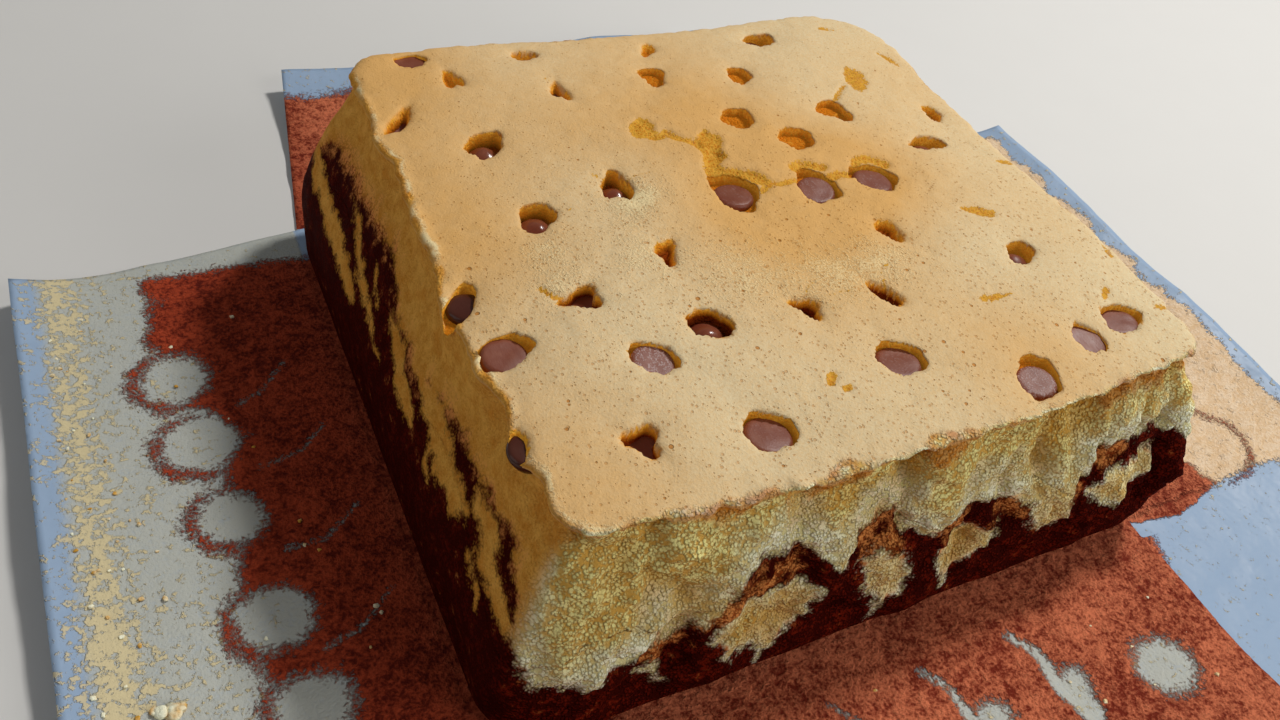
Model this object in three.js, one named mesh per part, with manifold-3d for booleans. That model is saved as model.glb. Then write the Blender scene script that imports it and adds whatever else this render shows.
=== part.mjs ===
// A square marbled castella sponge cake with chocolate chips, standing on its own baking paper.
// Two layers of sponge run right through it: cocoa below and plain above, with the baked crust on
// top. Chocolate chips have sunk into pits in the crust. The lining paper has been peeled from the
// sides and lies open round the cake. Millimetres, +Z up, origin at the middle of the underside,
// +X to the right along the front face and +Y towards the back.
import * as THREE from "three";
import { mergeVertices } from "three/addons/utils/BufferGeometryUtils.js";
import Module from "manifold-3d";

const wasm = await Module();
wasm.setup();

// Driving dimensions: an 18 cm square tin, and a top that shrank as it cooled.
const baseHalfWidth = 91;
const baseHalfDepth = 84;
const rimHalfWidth = 78.5;
const rimHalfDepth = 75;
const rimHeight = 60;
const crown = 3.4;
const footRound = 2.2;
const baseCorners = [16, 16, 20, 16];
const rimCorners = [7, 9, 24, 10];
const frontBulge = 4;
const waistStart = 0.3;
const lipUndercut = 1.5;
const lipDepth = 3.2;

// Layers: the height where cocoa meets plain sponge, and its waves.
const seamHeight = 33;
const seamWaveAcross = 3;
const seamWaveAlong = 1.5;
const seamPitchAcross = 34;
const seamPitchAlong = 41;
const leftRise = 6;
const frontCornerDip = 13;
const frontCornerReach = 22;
const seamGap = 0.3;
const seamCells = 22;

// Lining paper: how far its flaps reach past the foot of the cake, and how much they curl.
const paperThickness = 0.4;
const flapReach = 72;
const flapTaper = 0.13;
const flapCurl = 6;
const paperCells = 16;
const flapCells = 5;
const restGap = 0.3;
const cakeFoot = paperThickness + restGap;

// Chips: their size, and how each kind lies in its pit.
const chipRadius = 4.6;
const chipHeight = 5.4;
const chipSides = 10;
const pitMargin = 0.9;
const pitAboveCrust = 6;
const pitFloorGap = 1.3;
const layings = {
  flat: { sink: 1.7, faceUp: true, lean: 6 },
  low: { sink: 4.4, faceUp: true, lean: 16 },
  dome: { sink: 2.2, faceUp: false, lean: 10 },
};
const chipsFromBackToFront = [
  ["flat", -62, 69], ["low", -33, 66], ["low", 2, 64], ["low", 37, 63],
  ["low", -55, 58], ["low", -31, 47], ["low", -4, 49], ["low", 20, 45],
  ["low", -72, 45], ["dome", -56, 31], ["low", 8, 25], ["low", 37, 24],
  ["low", 68, 20], ["low", 19, 14], ["dome", -33, 8], ["dome", 56, 7],
  ["dome", -54, 3], ["flat", -7, -1], ["flat", 14, -4], ["flat", 31, -4],
  ["low", -32, -16], ["low", 23, -22], ["flat", -76, -17], ["low", -55, -24],
  ["flat", -74, -32], ["dome", 51, -37], ["dome", -33, -38], ["low", -10, -39],
  ["low", 10, -40], ["flat", -48, -43], ["flat", 2, -57], ["low", -58, -60],
  ["flat", -77, -54], ["flat", 62, -61], ["flat", 49, -64], ["flat", -34, -65],
  ["flat", 29, -70],
];

// Outline of the cake: arcs at the corners and straight runs between, anticlockwise from above.
const arcSteps = 4;
const sideSteps = 14;
const cornerSigns = [[-1, -1], [1, -1], [1, 1], [-1, 1]];
const quarterTurn = Math.PI / 2;
const outlineCount = 4 * (arcSteps + sideSteps);

const mix = (a, b, t) => a + (b - a) * t;
const smooth = (t) => {
  const c = Math.min(1, Math.max(0, t));
  return c * c * (3 - 2 * c);
};

// One corner's arc point: step 0 starts the arc and arcSteps ends it.
function arcPoint(corner, step, halfWidth, halfDepth, radius) {
  const [sx, sy] = cornerSigns[corner];
  const angle = Math.PI + (corner + step / arcSteps) * quarterTurn;
  return new THREE.Vector2(
    sx * (halfWidth - radius) + radius * Math.cos(angle),
    sy * (halfDepth - radius) + radius * Math.sin(angle),
  );
}

// A point of the rounded square by its place in the round, with t = 0 at the foot and 1 at the rim.
function outlinePoint(index, t) {
  const waist = smooth((t - waistStart) / (1 - waistStart));
  const foot = footRound * Math.max(0, 1 - t / 0.06) ** 2;
  const halfWidth = mix(baseHalfWidth, rimHalfWidth, waist) - foot;
  const halfDepth = mix(baseHalfDepth, rimHalfDepth, waist) - foot;
  const radius = (corner) => mix(baseCorners[corner], rimCorners[corner], t);
  const corner = Math.floor(index / (arcSteps + sideSteps)) % 4;
  const step = index % (arcSteps + sideSteps);
  if (step <= arcSteps) {
    return arcPoint(corner, step, halfWidth, halfDepth, radius(corner));
  }
  const next = (corner + 1) % 4;
  const from = arcPoint(corner, arcSteps, halfWidth, halfDepth, radius(corner));
  const to = arcPoint(next, 0, halfWidth, halfDepth, radius(next));
  const along = (step - arcSteps) / sideSteps;
  const point = from.lerp(to, along);
  if (corner === 0) point.y -= frontBulge * Math.sin(Math.PI * along) * waist;
  return point;
}

// Lumps and hollows of the torn crumb, deepest on the front and slight on the peeled left side.
function tornRelief(x, y, z) {
  const onFront = smooth((-y - 60) / 12);
  const onLeft = smooth((-x - 70) / 10);
  const lumps =
    Math.sin(x / 4.1 + 0.6 * Math.sin(z / 7)) * Math.sin(y / 4.7 + 1) +
    0.8 * Math.sin(x / 7.3 + y / 6.1 + 2) +
    0.6 * Math.sin(z / 5.2 + x / 9 - y / 8);
  const depth = mix(1.1, 2, onFront) * (1 - 0.65 * onLeft);
  return lumps * depth * 0.6;
}

// Height of the crust, and of the seam between the two layers.
function crustHeight(x, y) {
  const across = 1 - Math.abs(x / rimHalfWidth) ** 3;
  const along = 1 - Math.abs(y / rimHalfDepth) ** 3;
  const dome = crown * Math.max(0, across) * Math.max(0, along);
  return rimHeight + dome + 0.8 * Math.sin(x / 21 + 1) * Math.sin(y / 17 + 0.5);
}
function seamAt(x, y) {
  const across = seamWaveAcross * Math.sin((2 * Math.PI * (x + 46.5)) / seamPitchAcross);
  const along = seamWaveAlong * Math.sin((2 * Math.PI * y) / seamPitchAlong + 1);
  const rise = leftRise * smooth((-x - 60) / 25);
  const fromCorner = Math.hypot(x + baseHalfWidth, y + baseHalfDepth) / frontCornerReach;
  return seamHeight + across + along + rise - frontCornerDip * Math.exp(-(fromCorner ** 2));
}

// A point on the side at a height above the foot, moved in or out by the relief.
function sidePoint(index, height, undercut = 0) {
  const t = height / rimHeight;
  const flat = outlinePoint(index, t);
  const outward = flat.clone().divide(new THREE.Vector2(baseHalfWidth, baseHalfDepth));
  const strength = smooth(t / 0.15) * smooth((1 - t) / 0.12);
  const move = tornRelief(flat.x, flat.y, height) * strength - undercut;
  const length = Math.max(Math.abs(outward.x), Math.abs(outward.y));
  const push = 1 + move / (flat.length() * Math.max(length, 0.7));
  return new THREE.Vector3(flat.x * push, flat.y * push, cakeFoot + height);
}

// A ring across the cake: the side's point drawn in towards the middle, at a height of its own.
function innerPoint(index, side, share, heightOf) {
  const x = side.x * share;
  const y = side.y * share;
  return new THREE.Vector3(x, y, cakeFoot + heightOf(x, y));
}

// A closed surface through rings from the bottom's middle, up the side, to the top's middle.
function solidThroughRings(rings, bottom, top) {
  const count = rings[0].length;
  const points = [bottom, ...rings.flat(), top];
  const index = [];
  const at = (ring, step) => 1 + ring * count + (step % count);
  for (let step = 0; step < count; step++) {
    index.push(0, at(0, step + 1), at(0, step));
    for (let ring = 0; ring + 1 < rings.length; ring++) {
      const [a, b] = [at(ring, step), at(ring, step + 1)];
      const [c, d] = [at(ring + 1, step), at(ring + 1, step + 1)];
      index.push(a, b, d, a, d, c);
    }
    index.push(at(rings.length - 1, step), at(rings.length - 1, step + 1), points.length - 1);
  }
  const geometry = new THREE.BufferGeometry().setFromPoints(points);
  geometry.setIndex(index);
  return geometry;
}

const everyIndex = [...Array(outlineCount).keys()];
const ringOf = (pointAt) => everyIndex.map(pointAt);
const sideHeights = [0, 2.4, 7, 14, 22, 30, 37, 44, 51];
const topShares = [0.975, 0.85, 0.62, 0.33];

// The whole cake, before it is parted into its two layers.
function cakeGeometry() {
  const underLip = rimHeight - lipDepth;
  const rings = [
    ringOf((i) => innerPoint(i, sidePoint(i, 0), 0.5, () => 0)),
    ...sideHeights.map((height) => ringOf((i) => sidePoint(i, height))),
    ringOf((i) => sidePoint(i, underLip, lipUndercut)),
    ringOf((i) => sidePoint(i, rimHeight - 0.6)),
    ...topShares.map((share) =>
      ringOf((i) => innerPoint(i, sidePoint(i, rimHeight), share, crustHeight)),
    ),
  ];
  const middle = new THREE.Vector3(0, 0, cakeFoot + crustHeight(0, 0));
  return solidThroughRings(rings, new THREE.Vector3(0, 0, cakeFoot), middle);
}

// Everything below the seam, as one block with a wavy top that reaches past the cake all round.
function belowSeam() {
  const reach = 2 * (baseHalfWidth + 8);
  const grid = new THREE.BoxGeometry(reach, reach, 40, seamCells, seamCells, 1);
  const position = grid.attributes.position;
  for (let i = 0; i < position.count; i++) {
    const [x, y] = [position.getX(i), position.getY(i)];
    position.setZ(i, position.getZ(i) > 0 ? cakeFoot + seamAt(x, y) : -10);
  }
  return toManifold(grid);
}

// Shapes turned on a lathe stand on +Y, so they are tipped up to stand on +Z.
function turned(profile) {
  const points = profile.map(([radius, height]) => new THREE.Vector2(radius, height));
  return new THREE.LatheGeometry(points, chipSides).rotateX(quarterTurn);
}

// A chocolate chip: a flat round face at the top and a rounded point below.
function chipGeometry() {
  return turned([
    [0, -chipHeight],
    [chipRadius * 0.45, -chipHeight * 0.82],
    [chipRadius * 0.84, -chipHeight * 0.46],
    [chipRadius, -chipHeight * 0.14],
    [chipRadius * 0.87, 0],
    [0, 0],
  ]);
}

// The pit round a chip, from below its point to above the crust.
function pitGeometry(sink) {
  const radius = chipRadius + pitMargin;
  const floor = -sink - chipHeight - pitFloorGap;
  return turned([
    [0, floor],
    [radius * 0.88, floor + 0.2],
    [radius * 1.02, floor + 2],
    [radius * 1.04, pitAboveCrust],
    [0, pitAboveCrust],
  ]);
}

// Each chip leans towards its own side, and is a little larger or smaller than the next.
function chipPose(order, way, x, y) {
  const { sink, faceUp, lean } = layings[way];
  const height = cakeFoot + crustHeight(x, y);
  const turn = order * 2.4;
  const size = 1 + 0.07 * Math.sin(order * 1.7);
  const leanAxis = new THREE.Vector3(Math.cos(turn), Math.sin(turn), 0);
  const tilt = new THREE.Quaternion().setFromAxisAngle(leanAxis, THREE.MathUtils.degToRad(lean));
  const flip = new THREE.Quaternion().setFromAxisAngle(leanAxis, faceUp ? 0 : Math.PI);
  const top = faceUp ? height - sink : height - sink - chipHeight * size;
  return { sink, size, place: new THREE.Vector3(x, y, top), turn: tilt.multiply(flip), height };
}

const toManifold = (geometry) => {
  const bare = geometry.index ? geometry.toNonIndexed() : geometry.clone();
  bare.deleteAttribute("normal");
  bare.deleteAttribute("uv");
  const merged = mergeVertices(bare, 1e-3);
  return new wasm.Manifold(
    new wasm.Mesh({
      numProp: 3,
      vertProperties: merged.attributes.position.array,
      triVerts: new Uint32Array(merged.index.array),
    }),
  );
};
const toGeometry = (solid) => {
  const { vertProperties, triVerts } = solid.getMesh();
  const geometry = new THREE.BufferGeometry();
  geometry.setAttribute("position", new THREE.BufferAttribute(vertProperties, 3));
  geometry.setIndex(new THREE.BufferAttribute(triVerts, 1));
  geometry.computeVertexNormals();
  return geometry;
};

// The plain layer with a pit cut for every chip. Scraps that a pit frees at the rim are dropped.
function pitted(layer, poses) {
  const pits = poses.map(({ sink, size, place, height }) =>
    toManifold(pitGeometry(sink).scale(size, size, 1).translate(place.x, place.y, height)),
  );
  const pieces = wasm.Manifold.difference([layer, ...pits]).decompose();
  return pieces.sort((a, b) => b.volume() - a.volume())[0];
}

// The lining paper: a sheet on a grid of cells, wavy past the cake. Its two back corners are cut out.
const paperHalfWidth = baseHalfWidth + flapReach;
const paperHalfDepth = baseHalfDepth + flapReach;
function paperPoint(x, y) {
  const beyondX = Math.max(0, (Math.abs(x) - baseHalfWidth) / flapReach);
  const beyondY = Math.max(0, (Math.abs(y) - baseHalfDepth) / flapReach);
  const taper = y > 0 ? flapTaper : 0;
  const narrowY = 1 - taper * beyondX * (1 - beyondY);
  const narrowX = 1 - taper * beyondY * (1 - beyondX);
  const beyond = Math.min(1, Math.hypot(beyondX, beyondY));
  const ripple = 1 + Math.sin(x / 17 + y / 29) * Math.cos(y / 21 - x / 31);
  const height = beyond * (1.3 * ripple + flapCurl * beyond ** 3);
  return new THREE.Vector3(x * narrowX, y * narrowY, height);
}

// Where a line of the paper's grid runs: narrow cells in the flaps and wide ones under the cake.
function paperLine(step, base, full) {
  const fromMiddle = step - paperCells / 2;
  const inner = paperCells / 2 - flapCells;
  const beyond = Math.abs(fromMiddle) - inner;
  if (beyond <= 0) return (fromMiddle / inner) * base;
  return Math.sign(fromMiddle) * mix(base, full, beyond / flapCells);
}

function paperGeometry() {
  const lines = paperCells + 1;
  const points = [];
  for (const lift of [0, paperThickness]) {
    for (let row = 0; row < lines; row++) {
      for (let column = 0; column < lines; column++) {
        const x = paperLine(column, baseHalfWidth, paperHalfWidth);
        const y = paperLine(row, baseHalfDepth, paperHalfDepth);
        points.push(paperPoint(x, y).add(new THREE.Vector3(0, 0, lift)));
      }
    }
  }
  const layer = lines * lines;
  const last = paperCells - flapCells;
  const kept = (column, row) => {
    const inside = Math.min(column, row) >= 0 && Math.max(column, row) < paperCells;
    return inside && !(row >= last && (column < flapCells || column >= last));
  };
  const index = [];
  const wall = (a, b) => index.push(a, b, b + layer, a, b + layer, a + layer);
  for (let row = 0; row < paperCells; row++) {
    for (let column = 0; column < paperCells; column++) {
      if (!kept(column, row)) continue;
      const a = row * lines + column;
      const [b, c, d] = [a + 1, a + lines + 1, a + lines];
      index.push(a, c, b, a, d, c);
      index.push(a + layer, b + layer, c + layer, a + layer, c + layer, d + layer);
      if (!kept(column, row - 1)) wall(a, b);
      if (!kept(column + 1, row)) wall(b, c);
      if (!kept(column, row + 1)) wall(c, d);
      if (!kept(column - 1, row)) wall(d, a);
    }
  }
  const geometry = new THREE.BufferGeometry().setFromPoints(points);
  geometry.setIndex(index);
  return toGeometry(toManifold(geometry));
}

const cocoaSponge = new THREE.MeshStandardMaterial({ color: 0x55210f, roughness: 0.95, metalness: 0 });
const plainSponge = new THREE.MeshStandardMaterial({ color: 0xdcb878, roughness: 0.9, metalness: 0 });
const chocolate = new THREE.MeshStandardMaterial({ color: 0x5a3226, roughness: 0.4, metalness: 0 });
const bakingPaper = new THREE.MeshStandardMaterial({ color: 0xcfd0c8, roughness: 0.5, metalness: 0 });

const cake = new THREE.Group();
const add = (name, geometry, material) => {
  const mesh = new THREE.Mesh(geometry, material);
  mesh.name = name;
  cake.add(mesh);
  return mesh;
};

const poses = chipsFromBackToFront.map(([way, x, y], order) => chipPose(order, way, x, y));
const wholeCake = toManifold(cakeGeometry());
const lowerPart = belowSeam();
const cocoaLayer = wholeCake.intersect(lowerPart.translate(0, 0, -seamGap));
const plainLayer = wholeCake.subtract(lowerPart);
add("cocoa_sponge", toGeometry(cocoaLayer), cocoaSponge);
add("plain_sponge", toGeometry(pitted(plainLayer, poses)), plainSponge);
add("lining_paper", paperGeometry(), bakingPaper);
poses.forEach(({ size, place, turn }, order) => {
  const chip = add(`chip_${String(order + 1).padStart(2, "0")}`, chipGeometry(), chocolate);
  chip.scale.setScalar(size);
  chip.position.copy(place);
  chip.quaternion.copy(turn);
});

export default cake;
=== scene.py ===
import math

import bpy
import numpy as np
from bpy.props import FloatProperty, FloatVectorProperty, PointerProperty
from mathutils import Matrix, Vector


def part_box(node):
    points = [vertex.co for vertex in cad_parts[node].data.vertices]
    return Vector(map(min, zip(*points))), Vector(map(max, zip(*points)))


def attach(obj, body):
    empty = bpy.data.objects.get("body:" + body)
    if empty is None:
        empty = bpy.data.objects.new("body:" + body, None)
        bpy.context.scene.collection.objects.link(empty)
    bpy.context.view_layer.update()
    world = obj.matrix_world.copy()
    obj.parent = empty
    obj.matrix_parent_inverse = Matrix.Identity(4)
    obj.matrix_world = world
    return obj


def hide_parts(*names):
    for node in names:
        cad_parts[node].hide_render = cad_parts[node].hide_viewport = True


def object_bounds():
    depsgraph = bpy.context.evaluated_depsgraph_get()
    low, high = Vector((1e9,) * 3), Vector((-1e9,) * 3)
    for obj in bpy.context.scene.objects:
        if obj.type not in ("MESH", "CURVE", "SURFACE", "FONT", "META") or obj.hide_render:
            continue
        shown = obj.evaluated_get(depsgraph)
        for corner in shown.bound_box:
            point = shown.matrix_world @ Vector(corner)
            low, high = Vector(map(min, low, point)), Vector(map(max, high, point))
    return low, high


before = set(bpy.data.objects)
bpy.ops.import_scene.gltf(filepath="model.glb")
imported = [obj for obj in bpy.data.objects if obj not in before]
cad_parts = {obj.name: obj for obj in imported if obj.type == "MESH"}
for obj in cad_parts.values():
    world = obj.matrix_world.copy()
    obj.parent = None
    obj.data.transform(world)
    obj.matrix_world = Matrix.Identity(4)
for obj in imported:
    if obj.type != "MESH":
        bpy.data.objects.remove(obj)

bl_info = {
    "name": "Castella sponge cake",
    "version": (1, 0, 0),
    "blender": (4, 5, 0),
    "location": "View3D > Sidebar > Castella",
    "description": "A marbled sponge cake with chocolate chips on its opened lining paper",
    "category": "Object",
}

CAD_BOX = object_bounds()
MM = 0.001

# The cake and its paper as the solids have them, in millimetres.
BASE_HALF = (91.0, 84.0)
RIM_HALF = (78.5, 75.0)
RIM_HEIGHT = 60.0
CROWN = 3.4
FOOT_ROUND = 2.2
BASE_CORNERS = (16.0, 16.0, 20.0, 16.0)
RIM_CORNERS = (7.0, 9.0, 24.0, 10.0)
FRONT_BULGE = 4.0
CAKE_FOOT = 0.7
SEAM_HEIGHT = 33.0
SEAM_GAP = 0.02
FLAP_REACH = 72.0
FLAP_TAPER = 0.13
FLAP_CURL = 6.0
PAPER_THICKNESS = 0.4
CHIP_RADIUS = 4.6
CHIP_HEIGHT = 5.4

# How wide the crust's rounded edge is, how far it drops there, and how far round a pit it sinks.
EDGE_WIDTH = 4.5
EDGE_DROP = 2.4
PIT_REACH = 14

# How finely the pieces are divided: along each side of the crust, up each layer, and round a chip. The
# paper's is in millimetres.
CELLS = 220
PLAIN_ROWS = 40
COCOA_ROWS = 44
CHIP_SIDES = 40
PAPER_CELL = 1.5

# The lights: where each is and what it points at, in metres, its size and its colour. The floor's half
# width, in metres, and its number of points along each side.
LAMPS = {
    "key": ((0.7, 0.24, 1.0), (0, 0, 0.03), 0.16, (1.0, 0.985, 0.96)),
    "fill": ((0.55, -0.75, 0.5), (0, 0, 0.03), 0.6, (1.0, 0.985, 0.95)),
    "side": ((-1.1, 0.1, 0.75), (-0.08, 0, 0.04), 0.9, (1.0, 0.97, 0.92)),
}
FLOOR_HALF = 3.0
FLOOR_LINES = 9

# The camera: where it is, in metres, how it is turned, in radians, and its lens, in millimetres.
CAMERA_PLACE = (-0.13044, -0.15883, 0.06 + CAKE_FOOT * MM + 0.14395)
CAMERA_YAW, CAMERA_PITCH, CAMERA_ROLL = 0.6010, 0.7899, 0.2249
CAMERA_LENS, CAMERA_SENSOR = 29.48, 36

# Each chip's pit: its number, how it lies, the opening's middle, half length, half width and turn in
# degrees, and how far it is from round towards three-cornered.
PITS = [
    (1, "flat", -62, 69, 4.0, 3.0, 175, 0.05), (2, "low", -33, 66, 3.4, 2.3, 175, 0.1),
    (3, "low", 2, 64, 3.7, 1.6, 55, 0.15), (4, "low", 37, 63, 5.0, 3.7, 11, 0.05),
    (5, "low", -55, 58, 3.6, 2.2, 98, 0.22), (6, "low", -31, 47, 3.6, 1.7, 95, 0.25),
    (7, "low", -4, 49, 5.2, 3.3, 75, 0.15), (8, "low", 20, 45, 4.5, 3.3, 68, 0.05),
    (9, "low", -72, 45, 4.9, 1.8, 49, 0.15), (10, "dome", -56, 31, 5.2, 4.0, 45, 0.08),
    (11, "low", 8, 25, 4.5, 4.1, 74, 0.03), (12, "low", 37, 24, 5.1, 4.2, 116, 0.16),
    (13, "low", 68, 20, 3.6, 2.4, 83, 0.1), (14, "low", 19, 14, 4.8, 4.4, 15, 0.03),
    (15, "dome", -33, 8, 5.0, 3.4, 85, 0.18), (16, "dome", 56, 7, 6.2, 2.9, 5, 0.1),
    (17, "dome", -54, 3, 5.2, 3.9, 59, 0.08), (18, "flat", -7, -1, 7.2, 5.2, 95, 0.08),
    (19, "flat", 14, -4, 6.3, 5.2, 87, 0.1), (20, "flat", 31, -4, 6.2, 5.0, 153, 0.06),
    (21, "low", -32, -16, 3.8, 2.0, 72, 0.25), (22, "low", 23, -22, 3.8, 2.2, 114, 0.1),
    (23, "flat", -78, -17, 6.5, 2.6, 53, 0.05), (24, "low", -55, -24, 3.8, 2.9, 174, 0.3),
    (25, "flat", -74, -32, 5.7, 4.1, 18, 0.06), (26, "dome", 51, -37, 4.6, 3.2, 37, 0.05),
    (27, "dome", -33, -38, 4.9, 3.8, 150, 0.03), (28, "low", -10, -39, 3.3, 2.1, 123, 0.26),
    (29, "low", 10, -40, 4.3, 1.8, 120, 0.08), (30, "flat", -48, -43, 5.2, 3.6, 141, 0.03),
    (31, "flat", 2, -57, 5.6, 4.4, 156, 0.03), (32, "low", -58, -60, 3.4, 2.7, 110, 0.3),
    (33, "flat", -80, -54, 3.9, 2.0, 64, 0.05), (34, "flat", 62, -61, 5.7, 3.8, 1, 0.08),
    (35, "flat", 49, -64, 4.2, 3.7, 123, 0.05), (36, "flat", -34, -65, 5.4, 4.2, 160, 0.06),
    (37, "flat", 29, -70, 6.2, 4.8, 44, 0.03),
]

# By how a chip lies: how far its top is below the crust, how much deeper its pit goes, and its lean in
# degrees.
SINK = {"flat": 1.7, "low": 4.4, "dome": 2.2}
FLOOR = {"flat": 1.3, "low": 1.2, "dome": 3.0}
LEAN = {"flat": 6, "low": 16, "dome": 10}

# Pits whose crumb covers the chip, and pits whose walls are painted darker, by how much: partly browned
# crumb, partly painted shade in the pits that lie in shadow.
COVERED = {3, 5, 7, 8, 11, 12, 13, 14, 21, 22}
SCORCH_AND_SHADE = {
    6: 2.5, 9: 2.5, 10: 1.6, 15: 1.6, 17: 1.6, 21: 1.7, 22: 1.6, 24: 3.0, 27: 3.5, 28: 3.5, 29: 5.0, 32: 3.0,
}

# Chips with bloom, by how much, glossy chips, and chips at the cake's edge painted dark as shade.
BLOOM = {18: 0.3, 19: 0.35, 20: 0.35, 30: 1.0, 31: 0.3, 34: 0.25, 35: 0.2, 36: 0.25, 37: 0.85}
GLOSS = {10, 15, 16, 17, 23, 27, 33}
EDGE_SHADE = {23, 33}

# A chip's outline from its flat face to its point, as shares of its radius and its height.
CHIP_PROFILE = [
    (0, 0), (0.3, 0), (0.6, 0.005), (0.8, 0.012), (0.88, 0.03), (0.94, 0.07), (0.985, 0.13), (1.0, 0.2),
    (0.98, 0.3), (0.92, 0.42), (0.82, 0.55), (0.68, 0.7), (0.5, 0.83), (0.3, 0.93), (0.12, 0.985), (0, 1),
]

# Places where the crust tore open over a bubble: middle, half length, half width, turn and depth.
SCARS = [
    (-18, 26, 4.2, 3.4, 82, 0.8), (-5, 16, 5.6, 3.6, 64, 1.0), (53, 37, 6.6, 3.4, 65, 0.5),
    (50, -22, 4.4, 1.9, 153, 0.6), (34, -48, 4.2, 0.9, 176, 0.5), (60, 64, 2.8, 0.8, 163, 0.4),
    (71, 46, 4.2, 1.2, 117, 0.4), (74, -4, 3.3, 1.3, 173, 0.35), (-16, -58, 2.0, 1.1, 49, 0.7),
    (-14, -61, 1.3, 0.9, 20, 0.7), (75, -42, 2.9, 0.8, 80, 0.3), (63, -54, 2.4, 0.9, 42, 0.5),
    (76, -61, 3.7, 0.9, 168, 0.3),
]

# Cracks and creases in the crust: width, depth, and the points they run through.
CRACKS = [
    (1.7, 0.9, ((-16, 22), (-13, 23), (-12, 21), (-8, 17))), (3.0, 1.3, ((-5, 12), (-8, 9), (-8, 3))),
    (2.2, 1.2, ((-5, 5), (-2, 4), (1, 1))), (2.0, 1.0, ((12, 3), (15, 4), (19, 2))),
    (2.0, 1.0, ((29, 2), (33, 3), (37, 0))),
    (1.0, 0.7, ((-1, -3), (3, -1), (5, -2), (10, -1))), (1.6, 0.9, ((18, -2), (22, -1), (26, -2))),
    (0.9, 0.6, ((40, 28), (43, 31), (47, 34))), (0.5, 0.5, ((-40, 16), (-38, 14), (-35, 11))),
    (0.5, 0.6, ((-30, 9), (-27, 10), (-24, 10))), (0.4, 0.5, ((-50, 4), (-46, 3))),
    (0.5, 0.5, ((-33, 54), (-31, 51), (-31, 48))), (0.9, 0.9, ((-62, -19), (-60, -22), (-56, -24))),
    (0.5, 0.4, ((-10, -37), (-7, -34), (-5, -33))), (0.5, 0.5, ((-8, -38), (0, -37), (4, -38))),
    (0.5, 0.4, ((11, -38), (13, -33), (16, -32))), (0.4, 0.4, ((13, -40), (19, -40))),
    (0.4, 0.4, ((-33, -35), (-33, -31), (-32, -28))), (0.4, 0.4, ((-32, -15), (-33, -12))),
    (0.3, 0.25, ((-54, -29), (-50, -32), (-48, -37))), (0.3, 0.25, ((-28, -40), (-22, -41), (-14, -40))),
]

# Rough, flaky patches of the crust: middle and radius.
FLAKY = [
    (-20, -27, 12), (0, -32, 10), (16, -31, 9), (-38, -16, 8), (-58, -20, 7), (-34, 0, 7), (-28, 4, 6),
    (-56, -8, 6),
]

# Marbling on the front, as points across and up the face: the lower edge of the plain crumb, islands
# of plain crumb below it, and the paler toffee-brown tongues where the two batters mixed, each by its
# middle and its half width and half height.
FRONT_EDGE = [
    (-92, 27), (-82, 24), (-75, 24), (-68, 25), (-61, 26), (-54, 26), (-49, 31), (-45, 37), (-38, 43),
    (-30, 42), (-24, 36), (-20, 32), (-17, 36), (-16, 42), (-8, 42), (-2, 35), (4, 32), (9, 35),
    (16, 36), (24, 35), (31, 32), (40, 26), (46, 34), (50, 41), (58, 41), (70, 39), (84, 37), (92, 33),
]
FRONT_ISLANDS = [
    [
        (-50, 25), (-46, 29), (-41, 31), (-33, 31), (-25, 28), (-22, 23), (-25, 14), (-31, 9), (-39, 13),
        (-46, 19),
    ],
    [(-34, 13), (-33, 4), (-36, 12)],
    [(-15, 31), (-10, 33), (-4, 30), (1, 24), (2, 15), (-2, 12), (-10, 20)],
    [(-1, 13), (-3, 4), (-4, 13)],
    [(10, 19), (9, 25), (15, 28), (24, 26), (28, 21), (25, 17), (19, 14), (17, 5), (15, 13)],
    [(31, 33), (34, 27), (40, 18), (46, 17), (47, 24), (43, 33)],
    [(49, 31), (56, 34), (65, 34), (73, 32), (74, 28), (68, 25), (60, 24), (52, 27)],
    [(-60, 22), (-57, 8), (-62, 17)],
]
FRONT_TOFFEE = [
    (-46, 33, 13, 7), (-34, 36, 9, 6), (-13, 38, 7, 7), (-6, 34, 5, 5), (12, 32, 8, 4), (27, 30, 7, 5),
    (42, 27, 6, 10), (55, 38, 8, 4), (-58, 24, 6, 3),
]

# Marbling on the left face, by distance towards the back and up: the plain crumb's edge, and streaks of
# plain crumb below it by their two ends and their width.
LEFT_EDGE = [
    (-92, 20), (-83, 21), (-78, 30), (-73, 39), (-64, 44), (-50, 43), (-39, 44), (-23, 41), (-13, 38),
    (3, 39), (10, 44), (18, 47), (33, 46), (51, 44), (63, 43), (72, 35), (84, 28),
]
LEFT_STREAKS = [
    (76, 36, 24, 28, 3.4), (42, 41, 4, 28, 1.6), (6, 38, -22, 30, 2.2), (-14, 40, -50, 34, 3.4),
    (-48, 41, -74, 33, 3.2), (20, 40, 12, 35, 0.7), (-2, 34, -12, 29, 0.8), (-28, 34, -36, 28, 0.8),
    (-56, 33, -62, 27, 0.9),
]

# Pale spots in the skin on the paper: middle, radius and the way its red-brown rim faces.
PAPER_DOTS = [
    (-131, 34, 8, 3.4), (-129, 12, 8, 3.9), (-126, -11, 7, 4.0), (-123, -38, 8, 3.9), (-120, -60, 8, 3.6),
    (62, -118, 7.5, 0.3), (37, -114, 4.5, 0.2), (14, -113, 4.0, 0.2), (-10, -113, 5.0, 0.2),
    (-36, -113, 5.5, 0.1), (-62, -113, 6.0, 0.1),
]

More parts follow.
